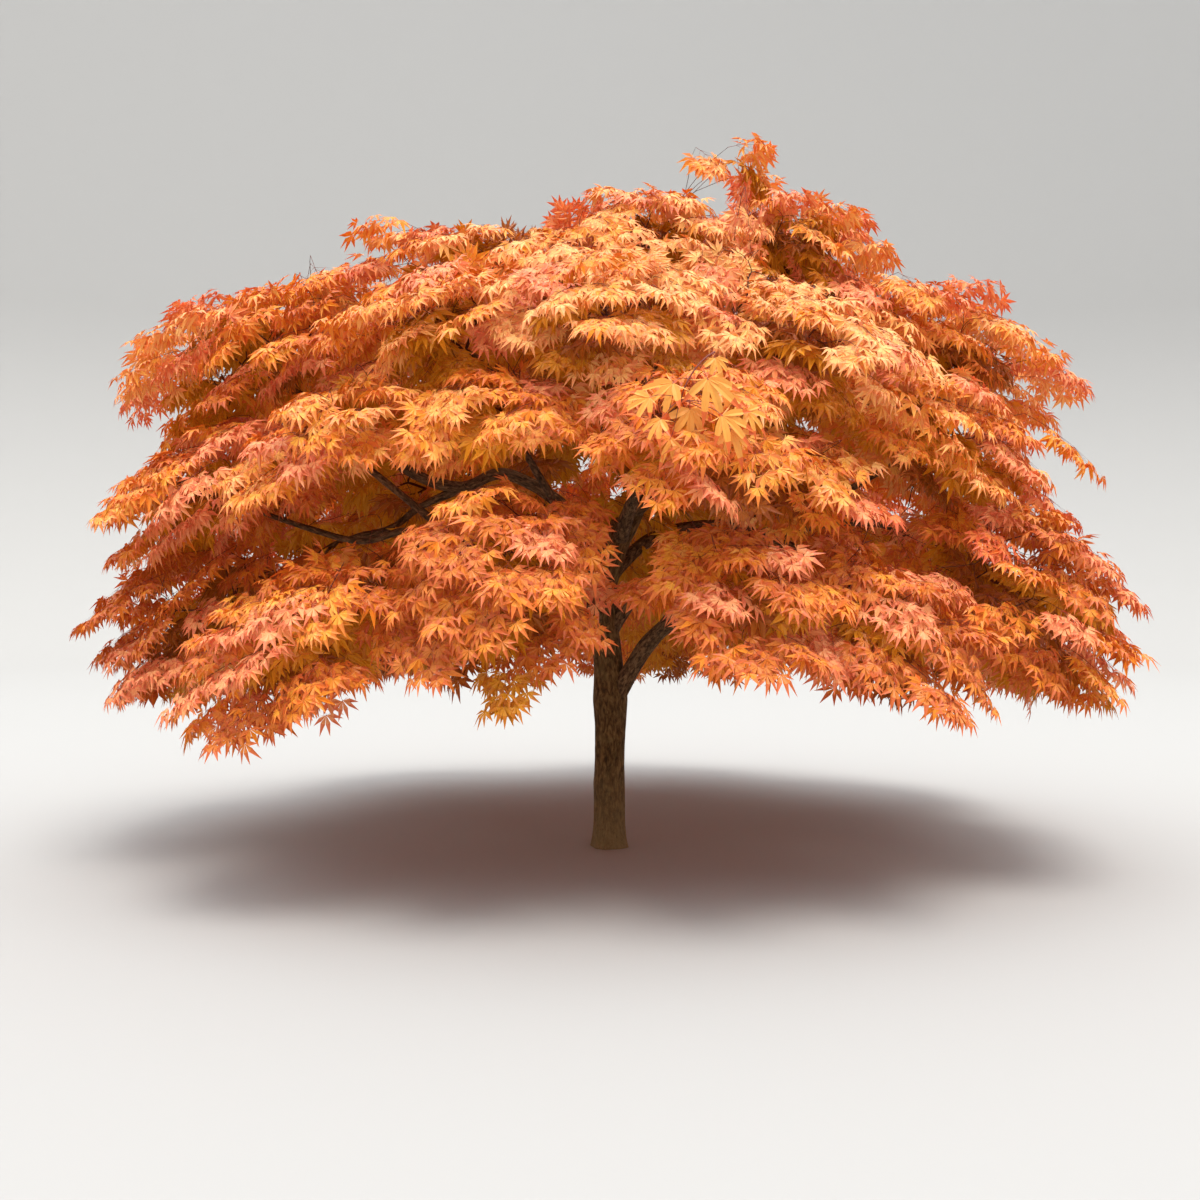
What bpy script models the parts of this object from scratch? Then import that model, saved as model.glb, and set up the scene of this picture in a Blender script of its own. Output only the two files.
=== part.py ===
"""A garden maple with a broad umbrella crown: trunk, boughs and the masses of foliage they carry.

Metres, +Z up, origin at the centre of the flat cut under the trunk. +X is the right hand side of the
front view and -Y is the front. Azimuths are in degrees from +X towards +Y, so 270 is the front.

Each mass of foliage is one closed solid round a centre: an ellipsoid that leans down as it runs out,
made uneven by smooth lumps, and stopped by a plane half way to each neighbour, so that no two meet.
Each bough is one tapering tube along a smooth curve. It starts inside its parent, which is cut out of
it, and ends where it enters its mass, which is cut out of it too.
"""

from math import cos, exp, pi, radians, sin

import bmesh
import bpy
from mathutils import Vector, noise

# Driving dimensions.
TRUNK_RADIUS = 0.071
SPINE_SPLIT = 1.16  # height at which the trunk solid ends and the leader solid begins

# Root flare, and the swelling under the lowest fork.
FLARE_RADIUS = 0.017
FLARE_HEIGHT = 0.07
BUTTRESS_SHARE = 0.07
BUTTRESSES = 4
BUTTRESS_TURN = 0.6
FORK_HEIGHT = 0.70
FORK_SWELLING = 0.010
FORK_SPREAD = 0.10

# Fineness of the solids and the clearance between them.
CLEARANCE = 0.0004
MASS_CLEARANCE = 0.003  # share by which a mass is grown before it is cut from a bough
MASS_SPACING = 0.004
TRUNK_SIDES = 12
BOUGH_SIDES = 6
RING_SPACING = 0.12
MASS_SEGMENTS = 14
MASS_RINGS = 8

# The spine is the trunk and the leader in one line: x, y, z and radius at each waypoint.
SPINE = (
    (0.000, 0.000, 0.00, TRUNK_RADIUS),
    (0.000, 0.000, 0.30, TRUNK_RADIUS),
    (0.002, 0.000, 0.68, TRUNK_RADIUS),
    (-0.012, 0.000, 0.92, 0.066),
    (-0.035, 0.000, 1.16, 0.061),
    (0.030, 0.000, 1.40, 0.057),
    (0.120, -0.010, 1.60, 0.050),
    (0.190, -0.010, 1.86, 0.041),
    (0.150, 0.000, 2.15, 0.032),
    (0.110, 0.000, 2.45, 0.025),
    (0.180, 0.000, 2.80, 0.020),
)

# Foliage, tier by tier. A tier states its lean below the horizontal in degrees and its tint. A mass
# states azimuth, reach of its centre from the trunk, height of its centre, half length outwards, half
# width across, and how far it stands above and hangs below its centre.
TIERS = (
    {
        "name": "skirt",
        "lean": 22,
        "tint": (0.80, 0.24, 0.07),
        "masses": {
            "left": (174, 1.95, 1.05, 0.44, 0.80, 0.34, 0.34),
            "left_front": (222, 1.62, 1.08, 0.52, 0.50, 0.23, 0.29),
            "front_left": (254, 1.47, 1.24, 0.44, 0.36, 0.38, 0.34),
            "front_right": (290, 1.49, 1.20, 0.42, 0.39, 0.22, 0.20),
            "right_front": (312, 1.53, 1.08, 0.44, 0.40, 0.27, 0.27),
            "right": (348, 1.87, 1.15, 0.44, 0.74, 0.34, 0.40),
            "back_right": (35, 1.83, 1.09, 0.56, 0.74, 0.38, 0.34),
            "back": (80, 1.83, 1.07, 0.54, 0.74, 0.38, 0.34),
            "back_left": (126, 1.83, 1.09, 0.56, 0.78, 0.38, 0.34),
        },
    },
    {
        "name": "side",
        "lean": 18,
        "tint": (0.84, 0.30, 0.07),
        "masses": {
            "left": (185, 1.78, 1.66, 0.52, 0.74, 0.30, 0.29),
            "left_front": (222, 1.40, 1.84, 0.42, 0.42, 0.22, 0.20),
            "front_left": (250, 1.20, 1.86, 0.42, 0.40, 0.20, 0.18),
            "front": (283, 1.46, 1.77, 0.42, 0.38, 0.27, 0.24),
            "right_front": (303, 1.34, 1.58, 0.38, 0.34, 0.24, 0.18),
            "right": (348, 1.49, 1.88, 0.46, 0.70, 0.28, 0.29),
            "back_right": (50, 1.58, 1.72, 0.60, 0.96, 0.34, 0.34),
            "back_left": (128, 1.58, 1.72, 0.60, 0.96, 0.34, 0.34),
        },
    },
    {
        "name": "shoulder",
        "lean": 15,
        "tint": (0.87, 0.36, 0.08),
        "masses": {
            "left": (180, 1.66, 2.24, 0.76, 0.72, 0.34, 0.25),
            "front_left": (225, 1.07, 2.24, 0.59, 0.51, 0.28, 0.24),
            "front": (268, 1.00, 2.26, 0.54, 0.47, 0.28, 0.24),
            "front_right": (311, 1.14, 2.17, 0.54, 0.56, 0.30, 0.24),
            "right": (359, 1.52, 2.33, 0.66, 0.66, 0.26, 0.25),
            "back_right": (54, 1.22, 2.28, 0.62, 0.78, 0.32, 0.28),
            "back_left": (127, 1.22, 2.28, 0.62, 0.76, 0.32, 0.28),
        },
    },
    {
        "name": "top",
        "lean": 7,
        "tint": (0.90, 0.42, 0.10),
        "masses": {
            "left": (174, 0.84, 2.64, 0.54, 0.54, 0.26, 0.22),
            "centre": (0, 0.25, 2.78, 0.42, 0.52, 0.25, 0.26),
            "right": (6, 0.92, 2.72, 0.50, 0.50, 0.34, 0.20),
            "back": (104, 0.72, 2.72, 0.52, 0.58, 0.32, 0.20),
            "shoot": (0, 0.64, 3.13, 0.15, 0.13, 0.17, 0.17),
        },
    },
)
LUMP_HEIGHT = 0.30  # of a mass's own size
LUMP_SIZE = 1.9  # lumps across a mass
ELLIPSOID_POWER = 2.3  # a little squarer than an ellipsoid
DROOP = 0.28  # fall of the outer half, per metre of its length squared
SIDE_DROOP = 0.6

# Boughs: parent, height where it leaves the spine or share of the parent bough, radius at its start
# and end, the mass it carries, and the waypoints between.
BOUGHS = {
    "bough_right_low": ("spine", 0.66, 0.043, 0.020, "skirt_right_front", (
        (0.115, -0.060, 0.86), (0.215, -0.130, 1.00), (0.42, -0.42, 1.20), (0.62, -0.70, 1.25))),
    "bough_front_right": ("bough_right_low", 0.50, 0.024, 0.014, "skirt_front_right", (
        (0.40, -0.72, 1.30), (0.43, -1.00, 1.26))),
    "bough_right_high": ("spine", 1.00, 0.040, 0.015, "skirt_right", (
        (0.147, 0.030, 1.20), (0.47, 0.08, 1.385), (0.75, 0.08, 1.47), (1.13, 0.05, 1.535),
        (1.40, 0.00, 1.47))),
    "bough_right_upper": ("bough_right_high", 0.42, 0.020, 0.012, "side_right", (
        (1.02, 0.03, 1.62),)),
    "bough_left_low": ("spine", 1.10, 0.027, 0.010, "side_left", (
        (-0.38, -0.05, 1.31), (-0.78, -0.10, 1.41), (-0.94, -0.10, 1.48), (-1.20, -0.12, 1.44))),
    "bough_left_high": ("spine", 1.30, 0.037, 0.014, "shoulder_left", (
        (-0.22, 0.00, 1.60), (-0.49, 0.00, 1.75), (-0.70, 0.00, 1.69), (-0.93, -0.02, 1.76),
        (-1.18, -0.02, 1.98))),
    "bough_left_drooping": ("bough_left_high", 0.42, 0.019, 0.009, "skirt_left", (
        (-0.89, 0.05, 1.60), (-1.045, 0.10, 1.50), (-1.34, 0.15, 1.41), (-1.60, 0.20, 1.20))),
    "bough_left_front": ("spine", 1.05, 0.034, 0.016, "skirt_left_front", (
        (-0.32, -0.30, 1.25), (-0.72, -0.66, 1.24))),
    "bough_left_front_upper": ("bough_left_front", 0.42, 0.020, 0.012, "side_left_front", (
        (-0.74, -0.64, 1.50),)),
    "bough_front_left": ("spine", 1.20, 0.034, 0.018, "skirt_front_left", (
        (-0.13, -0.42, 1.42), (-0.24, -0.80, 1.42))),
    "bough_front_left_upper": ("bough_front_left", 0.36, 0.020, 0.012, "side_front_left", (
        (-0.28, -0.74, 1.66),)),
    "bough_front": ("spine", 1.44, 0.032, 0.017, "side_front", (
        (0.12, -0.42, 1.66), (0.19, -0.82, 1.76))),
    "bough_right_front": ("spine", 1.56, 0.028, 0.015, "side_right_front", (
        (0.38, -0.32, 1.74), (0.60, -0.62, 1.74))),
    "bough_back_right": ("spine", 1.24, 0.034, 0.016, "skirt_back_right", (
        (0.22, 0.26, 1.46), (0.62, 0.56, 1.52), (1.10, 0.76, 1.36))),
    "bough_back_right_upper": ("bough_back_right", 0.40, 0.021, 0.012, "side_back_right", (
        (0.78, 0.80, 1.60),)),
    "bough_back": ("spine", 1.40, 0.030, 0.014, "skirt_back", (
        (0.05, 0.42, 1.60), (0.22, 0.92, 1.52), (0.34, 1.30, 1.30))),
    "bough_back_left": ("spine", 1.15, 0.035, 0.016, "skirt_back_left", (
        (-0.27, 0.34, 1.38), (-0.58, 0.84, 1.38), (-0.78, 1.18, 1.22))),
    "bough_back_left_upper": ("bough_back_left", 0.40, 0.021, 0.012, "side_back_left", (
        (-0.62, 0.84, 1.60),)),
    "bough_shoulder_right": ("spine", 1.68, 0.026, 0.013, "shoulder_right", (
        (0.42, 0.03, 1.90), (0.78, 0.05, 2.12))),
    "bough_shoulder_front_left": ("spine", 1.74, 0.025, 0.013, "shoulder_front_left", (
        (-0.06, -0.24, 1.96), (-0.36, -0.46, 2.10))),
    "bough_shoulder_back_left": ("spine", 1.80, 0.025, 0.013, "shoulder_back_left", (
        (-0.06, 0.28, 2.00), (-0.36, 0.52, 2.12))),
    "bough_shoulder_front_right": ("spine", 1.88, 0.023, 0.013, "shoulder_front_right", (
        (0.36, -0.28, 2.00), (0.46, -0.48, 2.08))),
    "bough_shoulder_front": ("spine", 1.98, 0.021, 0.012, "shoulder_front", (
        (0.12, -0.30, 2.12), (0.06, -0.55, 2.20))),
    "bough_shoulder_back_right": ("spine", 1.92, 0.023, 0.013, "shoulder_back_right", (
        (0.34, 0.30, 2.06), (0.50, 0.60, 2.16))),
    "bough_top_left": ("spine", 2.08, 0.020, 0.011, "top_left", (
        (-0.14, 0.03, 2.36),)),
    "bough_top_right": ("spine", 2.18, 0.019, 0.011, "top_right", (
        (0.42, 0.03, 2.40),)),
    "bough_top_back": ("spine", 2.26, 0.018, 0.011, "top_back", (
        (0.06, 0.28, 2.42),)),
}


# Materials: colour, roughness.
TRUNK_BARK = ((0.085, 0.050, 0.032), 0.85)
BOUGH_BARK = ((0.050, 0.026, 0.018), 0.80)
FOLIAGE_ROUGHNESS = 0.65


def clear_scene():
    for item in list(bpy.data.objects):
        bpy.data.objects.remove(item, do_unlink=True)


def make_material(name, colour, roughness):
    material = bpy.data.materials.new(name)
    material.use_nodes = True
    shader = material.node_tree.nodes["Principled BSDF"]
    shader.inputs["Base Color"].default_value = (*colour, 1.0)
    shader.inputs["Roughness"].default_value = roughness
    shader.inputs["Metallic"].default_value = 0.0
    return material


def make_object(name, points, faces, material):
    mesh = bpy.data.meshes.new(name)
    mesh.from_pydata([tuple(point) for point in points], [], faces)
    work = bmesh.new()
    work.from_mesh(mesh)
    bmesh.ops.recalc_face_normals(work, faces=work.faces)
    work.to_mesh(mesh)
    work.free()
    mesh.materials.append(material)
    item = bpy.data.objects.new(name, mesh)
    bpy.context.scene.collection.objects.link(item)
    return item


def make_cutter(name, points, faces, material):
    cutter = make_object(name, points, faces, material)
    cutter.hide_render = True
    cutter.display_type = "WIRE"
    return cutter


def cut_away(item, cutter):
    modifier = item.modifiers.new("cut_" + cutter.name, "BOOLEAN")
    modifier.operation = "DIFFERENCE"
    modifier.solver = "EXACT"
    modifier.object = cutter


# Masses of foliage.

def mass_rows():
    """Each mass by name: its centre, its directions outwards and across, and its sizes."""
    rows = {}
    for tier in TIERS:
        for place, (azimuth, reach, height, length, width, above, below) in tier["masses"].items():
            outward = Vector((cos(radians(azimuth)), sin(radians(azimuth)), 0.0))
            across = Vector((-outward.y, outward.x, 0.0))
            rows[tier["name"] + "_" + place] = {
                "centre": outward * reach + Vector((0.0, 0.0, height)),
                "outward": outward,
                "across": across,
                "length": length,
                "width": width,
                "above": above,
                "below": below,
                "lean": radians(tier["lean"]),
                "tier": tier["name"],
            }
    return rows


def reach_towards(row, direction):
    """How far a mass would run from its centre towards its neighbour."""
    upward = direction.z * (row["above"] if direction.z > 0 else row["below"])
    outward = direction.dot(row["outward"]) * row["length"]
    across = direction.dot(row["across"]) * row["width"]
    return (upward ** 2 + outward ** 2 + across ** 2) ** 0.5


def mass_planes(name, rows):
    """The planes a mass keeps behind, one to each other mass, as a direction and a distance."""
    row = rows[name]
    planes = []
    for other_name, other in rows.items():
        if other_name == name:
            continue
        apart = other["centre"] - row["centre"]
        direction = apart.normalized()
        own = reach_towards(row, direction)
        their = reach_towards(other, -direction)
        distance = apart.length * own / (own + their) - MASS_SPACING / 2
        planes.append((direction, distance))
    return planes


def mass_point(row, bearing, rise, seed, planes):
    """One point of the surface of a mass, from its bearing and rise as seen from the centre."""
    way = Vector((cos(rise) * cos(bearing), cos(rise) * sin(bearing), sin(rise)))
    squareness = sum(abs(part) ** ELLIPSOID_POWER for part in way) ** (-1.0 / ELLIPSOID_POWER)
    lumps = 1.0 + LUMP_HEIGHT * noise.noise(way * LUMP_SIZE + Vector((seed * 7.3, seed * 3.1, 0.0)))
    size = squareness * lumps
    out = way.x * row["length"] * size
    side = way.y * row["width"] * size
    up = way.z * size * (row["above"] if way.z > 0 else row["below"])
    up -= sin(row["lean"]) * out + DROOP * (max(out, 0.0) ** 2 + SIDE_DROOP * side ** 2)
    step = row["outward"] * out + row["across"] * side + Vector((0.0, 0.0, up))
    share = 1.0
    for direction, distance in planes:
        beyond = step.dot(direction)
        if beyond * share > distance:
            share = distance / beyond
    return step * share


def mass_surface(name, rows, seed):
    """Points, measured from the centre, and faces of one mass."""
    row = rows[name]
    planes = mass_planes(name, rows)
    points = [mass_point(row, 0.0, pi / 2, seed, planes)]
    for ring in range(1, MASS_RINGS):
        rise = pi / 2 - pi * ring / MASS_RINGS
        for segment in range(MASS_SEGMENTS):
            bearing = 2 * pi * segment / MASS_SEGMENTS
            points.append(mass_point(row, bearing, rise, seed, planes))
    points.append(mass_point(row, 0.0, -pi / 2, seed, planes))
    faces = []
    last = len(points) - 1
    for segment in range(MASS_SEGMENTS):
        beside = (segment + 1) % MASS_SEGMENTS
        faces.append((0, 1 + segment, 1 + beside))
        bottom = 1 + (MASS_RINGS - 2) * MASS_SEGMENTS
        faces.append((last, bottom + beside, bottom + segment))
        for ring in range(MASS_RINGS - 2):
            upper = 1 + ring * MASS_SEGMENTS
            lower = upper + MASS_SEGMENTS
            faces.append((upper + segment, lower + segment, lower + beside))
            faces.append((upper + segment, lower + beside, upper + beside))
    return points, faces


def build_masses(rows, materials):
    """Every mass, and for each a hidden cutter a little larger than it."""
    cutters = {}
    for seed, name in enumerate(rows):
        centre = rows[name]["centre"]
        material = materials[rows[name]["tier"]]
        steps, faces = mass_surface(name, rows, seed)
        make_object(name, [centre + step for step in steps], faces, material)
        grown = [centre + step * (1.0 + MASS_CLEARANCE) for step in steps]
        cutters[name] = make_cutter("cutter_" + name, grown, faces, material)
    return cutters


# Trunk and boughs.

def curve_through(waypoints, spacing):
    """Points and radii along a smooth curve through waypoints of position and radius."""
    knots = [waypoints[0]] + list(waypoints) + [waypoints[-1]]
    samples = []
    for index in range(1, len(knots) - 2):
        before, start, end, after = knots[index - 1:index + 3]
        count = max(1, round((end[0] - start[0]).length / spacing))
        for step in range(count):
            t = step / count
            point = 0.5 * (2 * start[0] + (end[0] - before[0]) * t
                           + (2 * before[0] - 5 * start[0] + 4 * end[0] - after[0]) * t ** 2
                           + (3 * start[0] - before[0] - 3 * end[0] + after[0]) * t ** 3)
            samples.append((point, start[1] + (end[1] - start[1]) * t))
    samples.append(waypoints[-1])
    return samples


def point_along(samples, share):
    """The point at a share of the length of a sampled curve."""
    lengths = [(b[0] - a[0]).length for a, b in zip(samples, samples[1:])]
    left = sum(lengths) * share
    for length, start, end in zip(lengths, samples, samples[1:]):
        if left <= length:
            return start[0].lerp(end[0], left / length)
        left -= length
    return samples[-1][0]


def rings_along(samples, sides, growth=0.0, shape=None):
    """Rings of points square to a sampled curve, each turned as little as can be from the last."""
    rings = []
    tangent = (samples[1][0] - samples[0][0]).normalized()
    side = tangent.orthogonal().normalized()
    for index, (centre, radius) in enumerate(samples):
        ahead = samples[min(index + 1, len(samples) - 1)][0]
        behind = samples[max(index - 1, 0)][0]
        turned = (ahead - behind).normalized()
        side = (tangent.rotation_difference(turned) @ side).normalized()
        tangent = turned
        other = tangent.cross(side)
        ring = []
        for step in range(sides):
            angle = 2 * pi * step / sides
            wide = radius + growth + (shape(centre.z, angle) if shape else 0.0)
            ring.append(centre + (side * cos(angle) + other * sin(angle)) * wide)
        rings.append(ring)
    return rings


def skin(rings):
    """Points and faces of the closed tube through a row of rings."""
    sides = len(rings[0])
    points = [point for ring in rings for point in ring]
    faces = [tuple(range(sides - 1, -1, -1)), tuple(range(len(points) - sides, len(points)))]
    for base in range(0, len(points) - sides, sides):
        for step in range(sides):
            beside = (step + 1) % sides
            faces.append((base + step, base + beside, base + sides + beside, base + sides + step))
    return points, faces


def trunk_swelling(height, angle):
    """Root flare with low buttresses, and the swelling under the lowest fork."""
    foot = exp(-height / FLARE_HEIGHT)
    buttress = BUTTRESS_SHARE * TRUNK_RADIUS * foot * cos(BUTTRESSES * angle + BUTTRESS_TURN)
    fork = FORK_SWELLING * exp(-((height - FORK_HEIGHT) / FORK_SPREAD) ** 2)
    return FLARE_RADIUS * foot + buttress + fork


def build_spine(materials, mass_cutters):
    """The trunk, the leader above it, and one hidden cutter as long as both."""
    waypoints = [(Vector(row[:3]), row[3]) for row in SPINE]
    samples = curve_through(waypoints, RING_SPACING)
    flare = [(Vector((0.0, 0.0, FLARE_HEIGHT * share)), TRUNK_RADIUS) for share in (0.0, 0.5, 1.0)]
    samples = flare + samples[1:]
    split = min(range(len(samples)), key=lambda index: abs(samples[index][0].z - SPINE_SPLIT))
    rings = rings_along(samples, TRUNK_SIDES, 0.0, trunk_swelling)
    make_object("trunk", *skin(rings[:split + 1]), materials["trunk"])

    lift = (samples[split + 1][0] - samples[split][0]).normalized() * CLEARANCE
    lifted = [point + lift for point in rings[split]]
    leader = make_object("leader", *skin([lifted] + rings[split + 1:]), materials["bough"])
    cut_away(leader, mass_cutters["top_centre"])

    grown = rings_along(samples, TRUNK_SIDES, CLEARANCE, trunk_swelling)
    return samples, make_cutter("cutter_spine", *skin(grown), materials["trunk"])


def build_boughs(rows, materials, mass_cutters):
    """Every bough, cut where it leaves its parent and where it enters its mass."""
    spine, spine_cutter = build_spine(materials, mass_cutters)
    heights = [point.z for point, radius in spine]
    curves = {}
    cutters = {"spine": spine_cutter}
    for name, (parent, place, thick, thin, mass, between) in BOUGHS.items():
        if parent == "spine":
            above = next(index for index, height in enumerate(heights) if height > place)
            share = (place - heights[above - 1]) / (heights[above] - heights[above - 1])
            start = spine[above - 1][0].lerp(spine[above][0], share)
        else:
            start = point_along(curves[parent], place)
        stops = [start] + [Vector(row) for row in between] + [rows[mass]["centre"]]
        lengths = [0.0]
        for before, after in zip(stops, stops[1:]):
            lengths.append(lengths[-1] + (after - before).length)
        taper = [thick + (thin - thick) * length / lengths[-1] for length in lengths]
        curves[name] = curve_through(list(zip(stops, taper)), RING_SPACING)
        rings = rings_along(curves[name], BOUGH_SIDES)
        bough = make_object(name, *skin(rings), materials["bough"])
        cut_away(bough, cutters[parent])
        cut_away(bough, mass_cutters[mass])
        grown = rings_along(curves[name], BOUGH_SIDES, CLEARANCE)
        cutters[name] = make_cutter("cutter_" + name, *skin(grown), materials["bough"])


def build():
    clear_scene()
    materials = {
        "trunk": make_material("trunk_bark", *TRUNK_BARK),
        "bough": make_material("bough_bark", *BOUGH_BARK),
    }
    for tier in TIERS:
        materials[tier["name"]] = make_material(tier["name"] + "_foliage", tier["tint"], FOLIAGE_ROUGHNESS)
    rows = mass_rows()
    mass_cutters = build_masses(rows, materials)
    build_boughs(rows, materials, mass_cutters)


build()
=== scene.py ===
# A garden maple in autumn colour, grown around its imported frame: bark, branches, twigs and leaves.
# Metres, +Z up, -Y to the front. The trunk and boughs follow the frame's own limbs, and each mass
# of foliage in the frame is filled by branches that fork until each fork carries one spray.
import math

import bpy
import numpy as np
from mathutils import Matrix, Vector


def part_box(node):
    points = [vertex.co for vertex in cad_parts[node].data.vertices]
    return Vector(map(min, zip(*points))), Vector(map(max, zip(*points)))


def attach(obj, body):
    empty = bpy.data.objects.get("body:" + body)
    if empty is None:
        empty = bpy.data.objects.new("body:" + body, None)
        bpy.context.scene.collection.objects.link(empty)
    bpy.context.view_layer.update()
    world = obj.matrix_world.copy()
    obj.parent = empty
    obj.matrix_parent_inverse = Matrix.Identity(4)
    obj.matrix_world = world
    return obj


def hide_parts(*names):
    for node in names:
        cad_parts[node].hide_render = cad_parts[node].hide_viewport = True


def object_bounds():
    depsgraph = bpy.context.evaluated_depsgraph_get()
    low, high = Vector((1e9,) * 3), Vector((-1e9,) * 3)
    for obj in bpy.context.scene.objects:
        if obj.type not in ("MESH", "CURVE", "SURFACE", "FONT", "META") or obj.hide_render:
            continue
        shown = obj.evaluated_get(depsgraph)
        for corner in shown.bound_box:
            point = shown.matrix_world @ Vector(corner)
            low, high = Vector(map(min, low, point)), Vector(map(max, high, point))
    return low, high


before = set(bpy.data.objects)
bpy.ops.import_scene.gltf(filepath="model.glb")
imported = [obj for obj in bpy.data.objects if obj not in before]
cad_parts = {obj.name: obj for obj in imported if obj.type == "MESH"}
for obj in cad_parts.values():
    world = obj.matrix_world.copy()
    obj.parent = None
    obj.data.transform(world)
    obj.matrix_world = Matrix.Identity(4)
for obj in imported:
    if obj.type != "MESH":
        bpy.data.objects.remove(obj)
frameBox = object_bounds()

turn = 2 * math.pi
up = np.array([0.0, 0.0, 1.0])


def unit(rows):  # each row over its own length
    return rows / np.maximum(np.linalg.norm(rows, axis=-1, keepdims=True), 1e-9)


def squareTo(rows, axis):  # turned square to the axis, with length one
    return unit(rows - axis * (rows * axis).sum(axis=-1, keepdims=True))


def awayFromTrunk(places):  # level headings
    return unit(places * [1, 1, 0] + 1e-6)


def middleOf(node):  # of the box round one of the frame's nodes
    return np.array(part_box(node)).mean(axis=0)


def linear(red, green, blue):  # screen colour, 0 to 255, to linear light
    screen = np.array([red, green, blue]) / 255.0
    return tuple(np.where(screen < 0.04045, screen / 12.92, ((screen + 0.055) / 1.055) ** 2.4)) + (1.0,)


# the arrays go into the mesh as they are, so its place is in its points and its origin at zero
def makePiece(name, points, faces, materials, faceMaterial=None, smooth=False):
    mesh = bpy.data.meshes.new(name)
    corners = faces.shape[1]
    mesh.vertices.add(len(points))
    mesh.vertices.foreach_set("co", np.ascontiguousarray(points, np.float32).ravel())
    mesh.loops.add(faces.size)
    mesh.loops.foreach_set("vertex_index", np.ascontiguousarray(faces, np.int32).ravel())
    mesh.polygons.add(len(faces))
    mesh.polygons.foreach_set("loop_start", np.arange(len(faces), dtype=np.int32) * corners)
    if faceMaterial is not None:
        mesh.polygons.foreach_set("material_index", np.ascontiguousarray(faceMaterial, np.int32))
    for material in materials:
        mesh.materials.append(material)
    mesh.update(calc_edges=True)
    mesh.polygons.foreach_set("use_smooth", np.full(len(faces), smooth))
    piece = bpy.data.objects.new(name, mesh)
    bpy.context.scene.collection.objects.link(piece)
    return piece


# limbs: a smooth curve through waypoints, and a ring of bark carried along it

spineRows = np.array([  # x, y, z, radius
    (0.000, 0.000, 0.00, 0.071), (0.000, 0.000, 0.30, 0.071), (0.002, 0.000, 0.68, 0.071),
    (-0.012, 0.000, 0.92, 0.066), (-0.035, 0.000, 1.16, 0.061), (0.030, 0.000, 1.40, 0.057),
    (0.120, -0.010, 1.60, 0.050), (0.190, -0.010, 1.86, 0.041), (0.150, 0.000, 2.15, 0.032),
    (0.110, 0.000, 2.45, 0.025), (0.180, 0.000, 2.80, 0.020)])

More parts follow.
